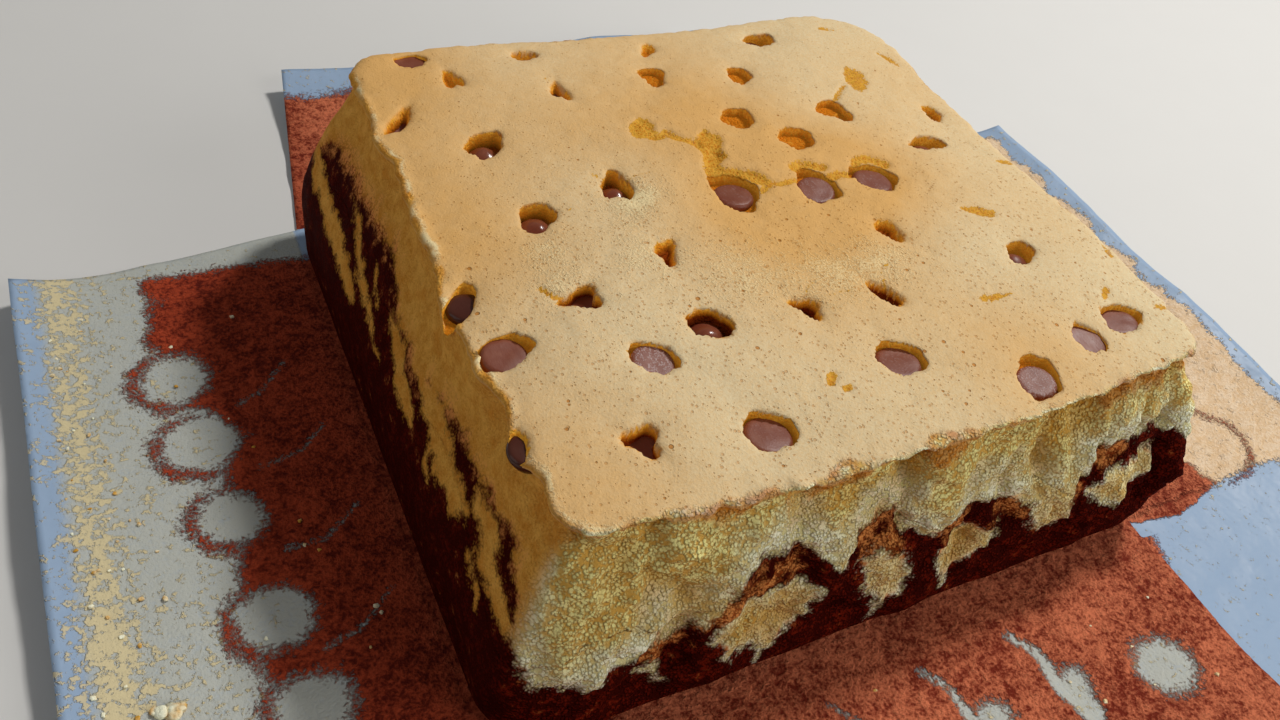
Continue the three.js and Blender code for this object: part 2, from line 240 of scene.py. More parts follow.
# Thin pale strokes that curve through the cocoa skin, widest at their first point.
PALE_STROKES = [
    ((36, -120), (33, -112), (34, -104), (30, -98)), ((12, -120), (8, -112), (8, -104), (4, -98)),
    ((-12, -120), (-17, -110), (-16, -103), (-20, -97)), ((-40, -120), (-46, -110), (-45, -101)),
    ((-119, 22), (-112, 26), (-105, 34)), ((-118, 2), (-108, 4), (-101, 11)),
    ((-117, -22), (-108, -22), (-99, -14)), ((-115, -48), (-107, -46), (-98, -38)),
]

# Clefts down the torn front: where, how deep and how wide.
CLEFTS = [(-62, 1.2, 2.0), (-30, 1.2, 2.2), (-5, 1.8, 1.8), (10, 1.6, 2.0), (22, 1.4, 1.5), (33, 2.6, 1.8),
          (42, 1.5, 1.5), (50, 3.0, 1.6), (62, 2.6, 1.6), (72, 2.2, 1.7)]

# Chips at the very edge, which the crumb bulges out to hold: how far along the left side.
EDGE_CHIPS = (-17, -32, -54)


def tone(red, green, blue):
    """A colour given as 0 to 255 on a screen, as the linear values that shaders work in."""
    return tuple(
        v / 255 / 12.92 if v <= 10 else ((v / 255 + 0.055) / 1.055) ** 2.4
        for v in (red, green, blue)
    )


def swatch(name, description, red, green, blue):
    """A colour that the panel shows as a swatch, given as 0 to 255 on a screen."""
    return FloatVectorProperty(
        name=name, description=description, subtype="COLOR", size=3, min=0, max=1,
        default=tone(red, green, blue))


def power(name, description, default):
    """A light's power."""
    return FloatProperty(name=name, description=description, default=default, min=0, unit="POWER")


def length(name, description, default, low, high):
    """A length in metres."""
    return FloatProperty(
        name=name, description=description, default=default, min=low, max=high, unit="LENGTH",
        subtype="DISTANCE")


class CastellaSizes(bpy.types.PropertyGroup):
    """Sizes of the surface detail."""

    lip_overhang: length("Lip overhang", "Furthest that the crust juts over the crumb", 0.0042, 0, 0.006)
    tear_depth: length("Tear depth", "Depth of the lumps and hollows torn in the crumb", 0.0027, 0, 0.005)
    pore_size: length("Pore size", "Width of the open bubbles in the crumb", 0.0007, 0.0004, 0.003)
    pinhole_size: length("Pinhole spacing", "Distance between the pinholes in the crust", 0.0027, 0.001, 0.01)
    skin_height: length("Skin height", "Thickness of the crumb skin left on the paper", 0.0004, 0, 0.001)


class CastellaColours(bpy.types.PropertyGroup):
    """Colours of the cake and its paper."""

    # Where the crust is least browned, towards the right, its pale colour is partly painted sheen.
    crust: swatch("Crust", "Baked top of the cake", 235, 219, 180)
    crust_brown: swatch("Browned crust", "Patches of the crust that browned more", 226, 176, 108)
    crumb: swatch("Plain crumb", "Torn plain sponge next to the cocoa", 255, 255, 226)
    crumb_gold: swatch("Golden crumb", "Torn plain sponge near the crust", 252, 240, 160)
    # Partly the crumb's own deeper tone, partly painted shade in the hollows of the torn face.
    crumb_tone_and_hollow_shade: swatch("Deep crumb", "Plain sponge in its hollows", 222, 164, 56)
    # Painted shade in the crumb's pores.
    pore_shade: swatch("Pores", "Inside of the bubbles in the plain sponge", 202, 138, 26)
    skin: swatch("Peeled side", "Smooth plain side where the paper was peeled off", 252, 190, 90)
    skin_deep: swatch("Dark peeled side", "Browner parts of the peeled side", 214, 138, 48)
    cocoa: swatch("Cocoa crumb", "Cocoa sponge", 114, 28, 10)
    # Partly the cocoa's own darker tone, partly painted shade in its pores.
    cocoa_tone_and_pore_shade: swatch("Deep cocoa", "Cocoa sponge in its hollows", 58, 9, 3)
    toffee: swatch("Mixed crumb", "Crumb where the two batters mixed", 240, 156, 84)
    # Also painted as a highlight along the crust's rim.
    flake_and_rim_highlight: swatch("Flakes", "Rough pale flakes on the crust", 248, 228, 176)
    amber: swatch("Pit wall", "Moist crumb round the chips", 224, 166, 62)
    amber_deep: swatch("Deep pit wall", "Moist crumb further down a pit", 204, 114, 16)
    chocolate: swatch("Chocolate", "Chocolate chips", 122, 62, 42)
    bloom: swatch("Bloom", "Pale bloom on the chocolate", 176, 150, 146)
    paper: swatch("Paper", "Bare lining paper", 158, 180, 206)
    paper_film: swatch("Film", "Thin film of crumb on the paper", 196, 194, 176)
    paper_bits: swatch("Crumbs", "Yellow crumbs stuck to the paper", 226, 206, 152)
    paper_cocoa: swatch("Cocoa skin", "Cocoa crumb skin on the paper", 218, 122, 84)
    paper_dark: swatch("Dark cocoa skin", "Thicker cocoa skin on the paper", 116, 34, 14)
    paper_plain: swatch("Plain skin", "Plain crumb skin on the paper", 244, 218, 186)
    floor: swatch("Floor", "Pale floor that the cake stands on", 226, 224, 220)


class CastellaLight(bpy.types.PropertyGroup):
    """Strength of the studio's lights."""

    key: power("Key", "Power of the large light overhead", 9.6)
    fill: power("Fill", "Power of the soft light in front", 4.0)
    side: power("Side", "Power of the weak light from the left", 1.4)
    sky: FloatProperty(name="Sky", description="Brightness of the surroundings", default=0.14, min=0)


# ---------------------------------------------------------------------------------------------------
# Shape


def mix(a, b, t):
    """a where t is 0, and b where it is 1."""
    return a + (b - a) * t


def smooth(t):
    """0 for t below 0 and 1 for t above 1, with a soft rise between."""
    c = np.clip(t, 0, 1)
    return c * c * (3 - 2 * c)


def bell(t):
    """1 for t of 0, and close to 0 beyond 2 either way."""
    return np.exp(-(t**2))


def noise(points, size, seed):
    """Smooth noise from -1 to 1 at points in millimetres, with lumps of the given size or sizes."""
    period = 24
    lattice = np.random.default_rng(seed).uniform(-1, 1, (period, period, period))
    place = np.asarray(points) / size
    cell = np.floor(place).astype(int)
    part = smooth(place - cell)
    total = np.zeros(len(place))
    for corner in np.ndindex(2, 2, 2):
        weight = np.prod(np.where(corner, part, 1 - part), axis=1)
        x, y, z = ((cell + corner) % period).T
        total += weight * lattice[x, y, z]
    return total


def outline(side, along, share):
    """Points of the cake's outline and the way each faces, by side 0 to 3, place along it and height."""
    waist = smooth((share - 0.3) / 0.7)
    foot = FOOT_ROUND * np.maximum(0, 1 - share / 0.06) ** 2
    half = np.stack([mix(BASE_HALF[k], RIM_HALF[k], waist) - foot for k in (0, 1)], axis=-1)
    signs = np.array([[-1, -1], [1, -1], [1, 1], [-1, 1]])
    nearby, further = side % 4, (side + 1) % 4

    def radius(corner):
        return mix(np.array(BASE_CORNERS)[corner], np.array(RIM_CORNERS)[corner], share)

    def arc(corner, turn):
        angle = math.pi + (corner + turn) * math.pi / 2
        way = np.stack([np.cos(angle), np.sin(angle)], axis=-1)
        bend = radius(corner)[..., None]
        return signs[corner] * (half - bend) + bend * way, way

    start, way = arc(nearby, 1.0)
    end, _ = arc(further, 0.0)
    run = np.linalg.norm(end - start, axis=-1)
    first = radius(nearby) * math.pi / 4
    last = radius(further) * math.pi / 4
    reach = along * (first + run + last)
    on_first = reach < first
    on_last = reach > first + run
    straight = np.clip((reach - first) / run, 0, 1)
    point = start + (end - start) * straight[..., None]
    bulge = np.where(side % 4 == 0, FRONT_BULGE * np.sin(math.pi * straight) * waist, 0)
    point[..., 1] -= bulge
    a, way_a = arc(nearby, 0.5 + 0.5 * np.clip(reach / first, 0, 1))
    b, way_b = arc(further, 0.5 * np.clip((reach - first - run) / last, 0, 1))
    pick = on_first[..., None]
    point, way = np.where(pick, a, point), np.where(pick, way_a, way)
    pick = on_last[..., None]
    return np.where(pick, b, point), np.where(pick, way_b, way)


def torn_relief(x, y, z):
    """The lumps that the solids have."""
    front, left = smooth((-y - 60) / 12), smooth((-x - 70) / 10)
    lumps = (
        np.sin(x / 4.1 + 0.6 * np.sin(z / 7)) * np.sin(y / 4.7 + 1)
        + 0.8 * np.sin(x / 7.3 + y / 6.1 + 2)
        + 0.6 * np.sin(z / 5.2 + x / 9 - y / 8)
    )
    return lumps * mix(1.1, 2, front) * (1 - 0.65 * left) * 0.6


def crust_height(x, y):
    """Height of the crowned top above the cake's foot."""
    across = np.maximum(0, 1 - np.abs(x / RIM_HALF[0]) ** 3)
    along = np.maximum(0, 1 - np.abs(y / RIM_HALF[1]) ** 3)
    return RIM_HEIGHT + CROWN * across * along + 0.8 * np.sin(x / 21 + 1) * np.sin(y / 17 + 0.5)


def seam_at(x, y):
    """Height of the seam between the two layers."""
    across = 3 * np.sin(2 * math.pi * (x + 46.5) / 34)
    along = 1.5 * np.sin(2 * math.pi * y / 41 + 1)
    rise = 6 * smooth((-x - 60) / 25)
    corner = np.hypot(x + BASE_HALF[0], y + BASE_HALF[1]) / 22
    return SEAM_HEIGHT + across + along + rise - 13 * bell(corner)


def seam_round(side, along):
    """Height of the seam along the cake's side."""
    flat, _ = outline(side, along, np.full(len(side), SEAM_HEIGHT / RIM_HEIGHT))
    return seam_at(*flat.T)


SEAM_MIDDLE = float(seam_at(np.array(0.0), np.array(0.0)))


def columns_round():
    """Side and place along it for each column round the cake, as the top's grid meets them."""
    column = np.arange(4 * CELLS)
    return column // CELLS, (column % CELLS) / CELLS


def facing(way):
    """How far points face the front, the left, and the two hidden sides, from their ways."""
    front, left = np.maximum(0, -way[:, 1]) ** 2, np.maximum(0, -way[:, 0]) ** 2
    return front, left, np.maximum(way[:, 0], way[:, 1]).clip(0, 1)


def inside(points, corners):
    """How far points lie inside a closed shape, in millimetres, and minus how far outside."""
    corners = np.asarray(corners, float)
    nearest = np.full(len(points), 1e9)
    crossings = np.zeros(len(points), int)
    for a, b in zip(corners, np.roll(corners, -1, axis=0)):
        edge = b - a
        t = np.clip((points - a) @ edge / (edge @ edge), 0, 1)
        nearest = np.minimum(nearest, np.linalg.norm(points - a - t[:, None] * edge, axis=1))
        level = (a[1] > points[:, 1]) != (b[1] > points[:, 1])
        rise = np.where(level, edge[1], 1)
        crossings += level & (points[:, 0] < a[0] + (points[:, 1] - a[1]) / rise * edge[0])
    return np.where(crossings % 2, nearest, -nearest)


def along_line(points, line):
    """Distance from points to a line through several points, and how far along it each one is."""
    line = np.asarray(line, float)
    best, place = np.full(len(points), 1e9), np.zeros(len(points))
    for number, (a, b) in enumerate(zip(line, line[1:])):
        edge = b - a
        t = np.clip((points - a) @ edge / (edge @ edge), 0, 1)
        gap = np.linalg.norm(points - a - t[:, None] * edge, axis=1)
        place = np.where(gap < best, (number + t) / (len(line) - 1), place)
        best = np.minimum(best, gap)
    return best, place


def front_marbling(x, z):
    """How far into cocoa crumb each point of a torn face is, and how mixed the crumb is there."""
    points = np.stack([x, z], axis=1)
    edge = np.array(FRONT_EDGE, float)
    cocoa = np.interp(x, edge[:, 0], edge[:, 1]) - z
    for island in FRONT_ISLANDS:
        cocoa = np.minimum(cocoa, -inside(points, island))
    toffee = 0.8 * smooth(-np.maximum(cocoa, z - 36) / 2) * (x > -52)
    for cx, cz, a, b in FRONT_TOFFEE:
        toffee = np.maximum(toffee, 1 - np.hypot((x - cx) / a, (z - cz) / b) * 0.8)
    return cocoa, toffee


def left_marbling(y, z):
    """The same for a peeled face, whose streaks slope."""
    points = np.stack([y, z], axis=1)
    edge = np.array(LEFT_EDGE, float)
    cocoa = np.interp(y, edge[:, 0], edge[:, 1]) - z
    for y0, z0, y1, z1, width in LEFT_STREAKS:
        bow = ((y0 + y1) / 2, (z0 + z1) / 2 - 1.5)
        gap, place = along_line(points, ((y0, z0), bow, (y1, z1)))
        cocoa = np.minimum(cocoa, gap - width * np.sqrt(np.maximum(0.02, 4 * place * (1 - place))))
    above = z - np.interp(y, edge[:, 0], edge[:, 1])
    return cocoa, mix(0.55, 0.9, smooth((y - 10) / 20)) * np.clip(1 - np.abs(above - 0.5) / 6, 0, 1)


def marbling(points, way):
    """The marbling of both layers at points on the side. The hidden sides are like the ones that show."""
    x, y, z = points.T
    warp = noise(points, 7, 31) * 2.2 + noise(points, 2.6, 32) * 1.1
    z = z + noise(points, 5, 33) * 1.3 + noise(points, 2.1, 34) * 0.8
    faces = [
        (way[:, 1] < 0, way[:, 1] ** 2, front_marbling(x + warp, z)),
        (way[:, 0] < 0, way[:, 0] ** 2, left_marbling(y + warp, z)),
        (way[:, 0] > 0, way[:, 0] ** 2, front_marbling(warp + y * 0.96 + 6, z - 1)),
        (way[:, 1] > 0, way[:, 1] ** 2, front_marbling(warp - x * 0.9 - 4, z)),
    ]
    cocoa, toffee, total = np.zeros(len(x)), np.zeros(len(x)), np.zeros(len(x))
    for here, weight, (dark, mixed) in faces:
        weight = np.where(here, weight, 0)
        cocoa += weight * dark
        toffee += weight * mixed
        total += weight
    return cocoa / total, toffee / total


def side_surface(side, along, height, settings):
    """Points on the cake's side at heights above its foot, and the fields that its finish reads."""
    share = height / RIM_HEIGHT
    flat, way = outline(side, along, share)
    points = np.column_stack([flat, height])
    front, left, hidden = facing(way)
    back = smooth((way[:, 1] - 0.8) / 0.15)
    torn = front + 0.9 * np.maximum(0, way[:, 0]) ** 2 + 0.8 * back + 0.1 * left
    below = RIM_HEIGHT - height
    level = points * (1, 1, 0)
    deep = settings.tear_depth / MM
    fade = smooth(share / 0.15) * smooth(below / 2.5)
    move = torn_relief(*points.T) * smooth(share / 0.15) * smooth((1 - share) / 0.12)
    columns = mix(0.6, 1.3, smooth((points[:, 0] + 20) / 60))
    lumps = (
        columns * noise(points, (5.5, 5.5, 24), 1)
        + 0.5 * noise(points, 4.6, 2)
        + 0.35 * noise(points, 2.1, 3)
        + 0.16 * noise(points, 1.1, 10)
    )
    low = 1 - 0.65 * smooth((18 - height) / 12)
    move += deep * torn * fade * low * (lumps - 0.2)
    move += (0.3 * noise(points, 9, 4) + 0.12 * noise(points, 2, 18)) * (1 - torn) * fade
    reach = settings.lip_overhang / MM
    overhang = torn * np.clip(0.45 + 1.3 * noise(level, 7, 5), 0.06, 1) * (1 - 0.6 * hidden)
    peeled = 0.45 * left * np.clip(0.6 + noise(level, 11, 6), 0.1, 1)
    under = smooth((below - 0.8) / 1.4) * (1 - smooth((below - 4 - 5 * noise(level, 9, 19)) / 12))
    move -= reach * (overhang + peeled) * under
    upper = smooth((height - 30) / 10) * smooth(below / 2)
    for x, depth, width in CLEFTS:
        lean = points[:, 0] - x + (height - 45) * 0.05 + noise(points, 6, 20)
        move -= front * depth * bell(lean / width) * upper
    ragged = noise(level, 3.1, 7) * 0.6 + noise(level, 1.3, 8) * 0.4
    move += ragged * (torn + 0.8 * left) * smooth((2.6 - below) / 2.6)
    move += noise(level, 10, 9) * 1.1 * left * smooth((9 - below) / 8)
    for y in EDGE_CHIPS:
        move += 3.0 * left * bell((points[:, 1] - y) / 6.5) * smooth((15 - below) / 12)
    points[:, :2] += way * move[:, None]
    cocoa, toffee = marbling(points, way)
    nothing = np.zeros(len(points))
    lip = 1 - below / (2.5 + 13 * smooth(0.45 + 0.8 * noise(level, 8, 21)))
    return points, {
        "cocoa": cocoa, "toffee": toffee, "torn": torn, "depth": -move, "lip": lip,
        "amber": nothing, "pit": nothing, "flaky": nothing, "crust": nothing, "bake": nothing,
    }


def pit_outline(x, y, opening, seed):
    """How far points are from a pit's middle, as a share of its irregular opening."""
    cx, cy, a, b, turn, corners = opening
    c, s = math.cos(math.radians(turn)), math.sin(math.radians(turn))
    u, v = ((x - cx) * c + (y - cy) * s) / a, ((y - cy) * c - (x - cx) * s) / b
    angle = np.arctan2(v, u)
    shape = 1 + corners * np.cos(3 * angle + seed) + 0.05 * np.cos(5 * angle + 2 * seed)
    shape += 0.03 * np.cos(9 * angle - seed)
    return np.hypot(u, v) / shape


def crust_grid():
    """The crust as a grid: each point's share of the way out, and the side and place along it out there."""
    line = np.linspace(-1, 1, CELLS + 1)
    u, v = (g.ravel() for g in np.meshgrid(line, line))
    size = np.maximum(np.maximum(np.abs(u), np.abs(v)), 1e-9)
    pu, pv = u / size, v / size
    side = np.select([pv <= -1 + 1e-9, pu >= 1 - 1e-9, pv >= 1 - 1e-9], [0, 1, 2], 3)
    along = (1 + np.choose(side, [pu, pv, -pu, -pv])) / 2
    return size, side, np.clip(along, 0, 1)


def crust_points(settings):
    """The crust's points with its pits, scars and cracks, and the fields that its finish reads."""
    size, side, along = crust_grid()
    rim, _ = side_surface(side, along, np.full(len(size), RIM_HEIGHT), settings)
    flat = rim[:, :2] * size[:, None]
    x, y = flat.T
    edge = (1 - size) * np.linalg.norm(rim[:, :2], axis=1)
    front, left, hidden = facing(outline(side, along, np.ones(len(size)))[1])
    round_off = 1 - 0.8 * front - 0.7 * left * smooth((66 - y) / 16)
    bend = np.clip(1 - edge / EDGE_WIDTH, 0, 1)
    z = crust_height(x, y) - EDGE_DROP * round_off * (1 - np.sqrt(np.maximum(0, 1 - 0.96 * bend**2)))
    points = np.column_stack([x, y, z])
    ridge = bell((edge - 1.2) / 1.3) * (left * 0.9 + front * 0.5)
    z += ridge * np.clip(0.45 + noise(points, 9, 12) + 0.5 * noise(points, 2.3, 17), 0, 1.3)
    z += 0.35 * noise(points, 13, 13) + 0.12 * noise(points, 3.5, 14) + 0.05 * noise(points, 1.4, 15)
    wander = noise(points, 12, 47) + 0.5 * noise(points, 4, 48)
    peel = (3.4 * front + 2.8 * hidden**2) * np.clip(wander - 0.05, 0, 1)
    z += bell(edge / 1.5) * front * 0.5 * noise(points, 2.2, 16)
    z -= smooth((peel - edge + 0.4) / 0.8) * (peel > 0.2) * (0.35 + 0.3 * noise(points, 1.3, 49))
    amber, hollow = np.zeros(len(x)), np.zeros(len(x))
    for number, lies, *opening in PITS:
        cx, cy, _, half_width, *_ = opening
        near = np.flatnonzero(np.hypot(x - cx, y - cy) < PIT_REACH)
        px, py = x[near], y[near]
        gap = pit_outline(px, py, opening, number * 1.3)
        depth = SINK[lies] + FLOOR[lies]
        narrow = max(0.0, 2.8 - half_width) / 1.2
        wall = np.interp(gap, [0.6 - 0.2 * narrow, 1.12 + 0.08 * narrow], [1, 0])
        wall = wall * wall * (3 - 2 * wall)
        pulled = np.interp(gap, [0, 0.6, 0.86, 1.12, 1.5, 9], [0, 1.02, 1.03, 1.0, 1.5, 9])
        ratio = mix(pulled / np.maximum(gap, 1e-6), 1, min(1, 1.2 * narrow))
        x[near] = cx + (px - cx) * ratio
        y[near] = cy + (py - cy) * ratio
        if number in COVERED:
            far = ((px - cx) * 0.565 + (py - cy) * 0.825) / max(2.5, half_width)
            depth = depth * mix(1.0, 0.5, smooth(0.75 + 0.7 * far))
        shoulder = 0.45 * (1 - smooth((gap - 1.05) / 0.7)) * (gap > 0.6)
        dimple = 0.7 * bell((gap - 1) / 1.3) * (gap > 1)
        z[near] -= depth * wall + shoulder * 0.6 + dimple * 0.4
        amber[near] = np.maximum(amber[near], smooth((wall - 0.04) / 0.2))
        hollow[near] = np.maximum(hollow[near], wall * SCORCH_AND_SHADE.get(number, 1.0))
    here = np.column_stack([x, y, z])
    for number, (cx, cy, a, b, turn, deep) in enumerate(SCARS):
        gap = pit_outline(x, y, (cx, cy, a, b, turn, 0.08), number * 1.9 + 0.6)
        gap += 0.16 * noise(here, 1.6, 41) + 0.1 * noise(here, 3.1, 42)
        mark = smooth((1.12 - gap) / 0.3)
        z -= mark * deep * 0.7
        amber = np.maximum(amber, mark * (0.4 + 0.55 * min(1, deep)))
    for number, (width, deep, line) in enumerate(CRACKS):
        gap, _ = along_line(flat, line)
        gap = gap + 0.3 * width * noise(here, 1.4, 51 + number) + 0.15 * width * noise(here, 3.3, 61)
        mark = smooth((width - gap) / max(0.6, 0.6 * width))
        z -= mark * deep * 0.7
        amber = np.maximum(amber, mark * min(1, 0.35 + 0.5 * deep))
    z = np.minimum(z, CAD_BOX[1][2] / MM - CAKE_FOOT - 0.02)
    # How browned the crust is: most in the middle and towards the left, least towards the right and the front
    # right, where the paleness is partly painted sheen.
    bake = 0.48 + 0.4 * noise(here, 34, 44) + 0.85 * bell(np.hypot(x - 2, y + 12) / 34)
    bake += 0.35 * smooth((-x - 40) / 40) - 0.25 * smooth((x - 20) / 50)
    bake -= 0.3 * smooth((x - 30) / 45) * smooth((-y - 20) / 40)
    flaky = sum(bell(np.hypot(x - cx, y - cy) / r) for cx, cy, r in FLAKY)
    # Pale crust along the left and front rim: partly crumbly flakes, partly a painted highlight where the
    # edge catches the light.
    rim_flakes_and_highlight = bell((edge - 0.9) / 1.3) * np.clip(0.7 + noise(here, 4, 46), 0.1, 1.3)
    flaky += 1.9 * (left + 0.5 * front) * rim_flakes_and_highlight
    bare = peel + 1.3 * left * (0.4 + noise(here, 3, 45))
    return np.column_stack([x, y, z]), {
        "bake": np.clip(bake, 0, 1),
        "cocoa": np.full(len(x), -9.0),
        "toffee": np.zeros(len(x)),
        "torn": smooth((0.9 + peel - edge) / 0.5) * (front + 0.8 * hidden**2),
        "depth": np.zeros(len(x)),
        "lip": 0.62 * (peel > 0),
        "amber": amber,
        "pit": hollow,
        "flaky": flaky,
        "crust": smooth((edge - 0.1 - bare) / 0.6) * (1 - smooth((hollow - 0.02) / 0.1)),
    }


def paper_height(grid_x, grid_y):
    """The paper's upper side at places of the flat sheet, where those come to lie, and how far out."""
    beyond_x = np.maximum(0, (np.abs(grid_x) - BASE_HALF[0]) / FLAP_REACH)
    beyond_y = np.maximum(0, (np.abs(grid_y) - BASE_HALF[1]) / FLAP_REACH)
    taper = np.where(grid_y > 0, FLAP_TAPER, 0)
    x = grid_x * (1 - taper * beyond_y * (1 - beyond_x))
    y = grid_y * (1 - taper * beyond_x * (1 - beyond_y))
    beyond = np.minimum(1, np.hypot(beyond_x, beyond_y))
    ripple = 1 + np.sin(grid_x / 17 + grid_y / 29) * np.cos(grid_y / 21 - grid_x / 31)
    flat = np.column_stack([x, y, np.zeros(len(x))])
    z = beyond * (1.3 * ripple + FLAP_CURL * beyond**3) + PAPER_THICKNESS
    z += smooth(beyond * 4) * (0.35 * noise(flat, 11, 81) + 0.15 * noise(flat, 4.5, 82))
    return np.maximum(z, 0.38), x, y, beyond


def grid_faces(rows, columns, offset=0, closed=False):
    """Corner numbers of the four-sided faces of a grid, row after row."""
    row, column = np.mgrid[: rows - 1, : columns if closed else columns - 1]
    a = offset + row * columns + column
    b = offset + row * columns + (column + 1) % columns
    return np.stack([a, b, b + columns, a + columns], axis=-1).reshape(-1, 4)


def fan(edge, hub):
    """Triangles from a closed line of corner numbers to the corner in its middle."""
    return np.column_stack([edge, np.full(len(edge), hub), np.roll(edge, -1)])


def closed_sheet(top, faces, thickness):
    """The points and faces of a sheet that has the given upper side."""
    under = top.copy()
    under[:, 2] = np.maximum(0, under[:, 2] - thickness)
    edges = np.concatenate([faces[:, [k, (k + 1) % 4]] for k in range(4)])
    _, index, uses = np.unique(np.sort(edges, axis=1), axis=0, return_index=True, return_counts=True)
    border = edges[index[uses == 1]]
    walls = np.column_stack([border[:, ::-1], border + len(top)])
    return np.concatenate([top, under]), [faces, faces[:, ::-1] + len(top), walls]


def make_mesh(name, points, faces, fields=None):
    """A smooth mesh object from points in millimetres above the cake's foot, in faces of like size."""
    mesh = bpy.data.meshes.new(name)
    counts = np.concatenate([np.full(len(f), f.shape[1]) for f in faces])
    corners = np.concatenate([f.ravel() for f in faces])
    mesh.vertices.add(len(points))
    mesh.loops.add(len(corners))
    mesh.polygons.add(len(counts))
    mesh.vertices.foreach_set("co", (np.asarray(points) * MM).astype(np.float32).ravel())
    mesh.loops.foreach_set("vertex_index", corners.astype(np.int32))
    starts = np.concatenate([[0], np.cumsum(counts)[:-1]])
    mesh.polygons.foreach_set("loop_start", starts.astype(np.int32))
    mesh.polygons.foreach_set("use_smooth", np.ones(len(counts), bool))
    for key, values in (fields or {}).items():
        mesh.attributes.new(key, "FLOAT", "POINT").data.foreach_set("value", np.asarray(values, np.float32))
    mesh.update(calc_edges=True)
    mesh.validate()
    piece = bpy.data.objects.new(name, mesh)
    bpy.context.scene.collection.objects.link(piece)
    return piece


def join_fields(parts):
    """One list of values for each field, from several groups of points."""
    return {key: np.concatenate([part[key] for part in parts]) for key in parts[0]}


def place(piece, slot, *nodes):
    """The piece takes the place of its solids, which it hides, and moves with the cake."""
    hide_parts(*nodes)
    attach(piece, "root")


# ---------------------------------------------------------------------------------------------------
# Materials


class Wire:
    """A socket of a material's nodes. Arithmetic on wires and numbers adds the nodes for it."""

    def __init__(self, tree, socket=None):
        self.tree = tree
        self.socket = socket

    def node(self, kind, settings=None, inputs=None, out=0):
        made = self.tree.nodes.new("ShaderNode" + kind)
        for name, value in (settings or {}).items():
            setattr(made, name, value)
        for name, value in (inputs or {}).items():
            if isinstance(value, Wire):
                self.tree.links.new(value.socket, made.inputs[name])
            else:
                made.inputs[name].default_value = value
        return Wire(self.tree, made.outputs[out] if made.outputs else None)

    def maths(self, operation, *values):
        return self.node("Math", {"operation": operation}, dict(enumerate(values)))

    def __add__(self, other):
        return self.maths("ADD", self, other)

    def __sub__(self, other):
        return self.maths("SUBTRACT", self, other)

    def __rsub__(self, other):
        return self.maths("SUBTRACT", other, self)

    def __mul__(self, other):
        return self.maths("MULTIPLY", self, other)

    def __pow__(self, other):
        return self.maths("POWER", self, other)

    __radd__ = __add__
    __rmul__ = __mul__

    def larger(self, other):
        return self.maths("MAXIMUM", self, other)

    def smaller(self, other):
        return self.maths("MINIMUM", self, other)

    def step(self, low, high):
        """0 below low and 1 above high, smoothly. Low may be above high."""
        limits = {"Value": self, "From Min": low, "From Max": high}
        return self.node("MapRange", {"interpolation_type": "SMOOTHSTEP"}, limits)

    def between(self, a, b):
        """Colour a where this is 0 and colour b where it is 1."""
        ends = [v if isinstance(v, Wire) else (*v, 1.0) for v in (a, b)]
        return self.node("Mix", {"data_type": "RGBA"}, {0: self, 6: ends[0], 7: ends[1]}, 2)


class Finish:
    """A new material: the wires that its patterns start from, and its surface."""

    def __init__(self, name):
        self.material = bpy.data.materials.new(name)
        self.material.use_nodes = True
        self.tree = self.material.node_tree
        self.tree.nodes.clear()
        self.start = Wire(self.tree)
        self.place = self.start.node("TexCoord", out="Object")

    def field(self, name):
        return self.start.node("Attribute", {"attribute_name": name}, out="Fac")

    def noise(self, size, detail=2.0, roughness=0.5, stretch=None):
        """Noise with lumps of a size in metres, from 0 to 1."""
        place = self.place
        if stretch:
            place = self.start.node("VectorMath", {"operation": "MULTIPLY"}, {0: place, 1: stretch})
        values = {"Vector": place, "Scale": 1 / size, "Detail": detail, "Roughness": roughness}
        return self.start.node("TexNoise", inputs=values)

    def cells(self, size):
        """Round cells of a size in metres: how far from a cell's middle, and a number for each cell."""
        gap = self.start.node("TexVoronoi", inputs={"Vector": self.place, "Scale": 1 / size})
        colour = Wire(self.tree, gap.socket.node.outputs["Color"])
        return gap, self.start.node("SeparateColor", inputs={0: colour})

    def bump(self, height, distance, strength=1.0):
        values = {"Height": height, "Distance": distance, "Strength": strength}
        return self.start.node("Bump", inputs=values, out="Normal")

    def surface(self, **values):
        names = {key.replace("_", " ").title(): value for key, value in values.items()}
        names = {key.replace("Ior", "IOR"): value for key, value in names.items()}
        shader = self.start.node("BsdfPrincipled", inputs=names)
        self.start.node("OutputMaterial", inputs={"Surface": shader})
        return self.material


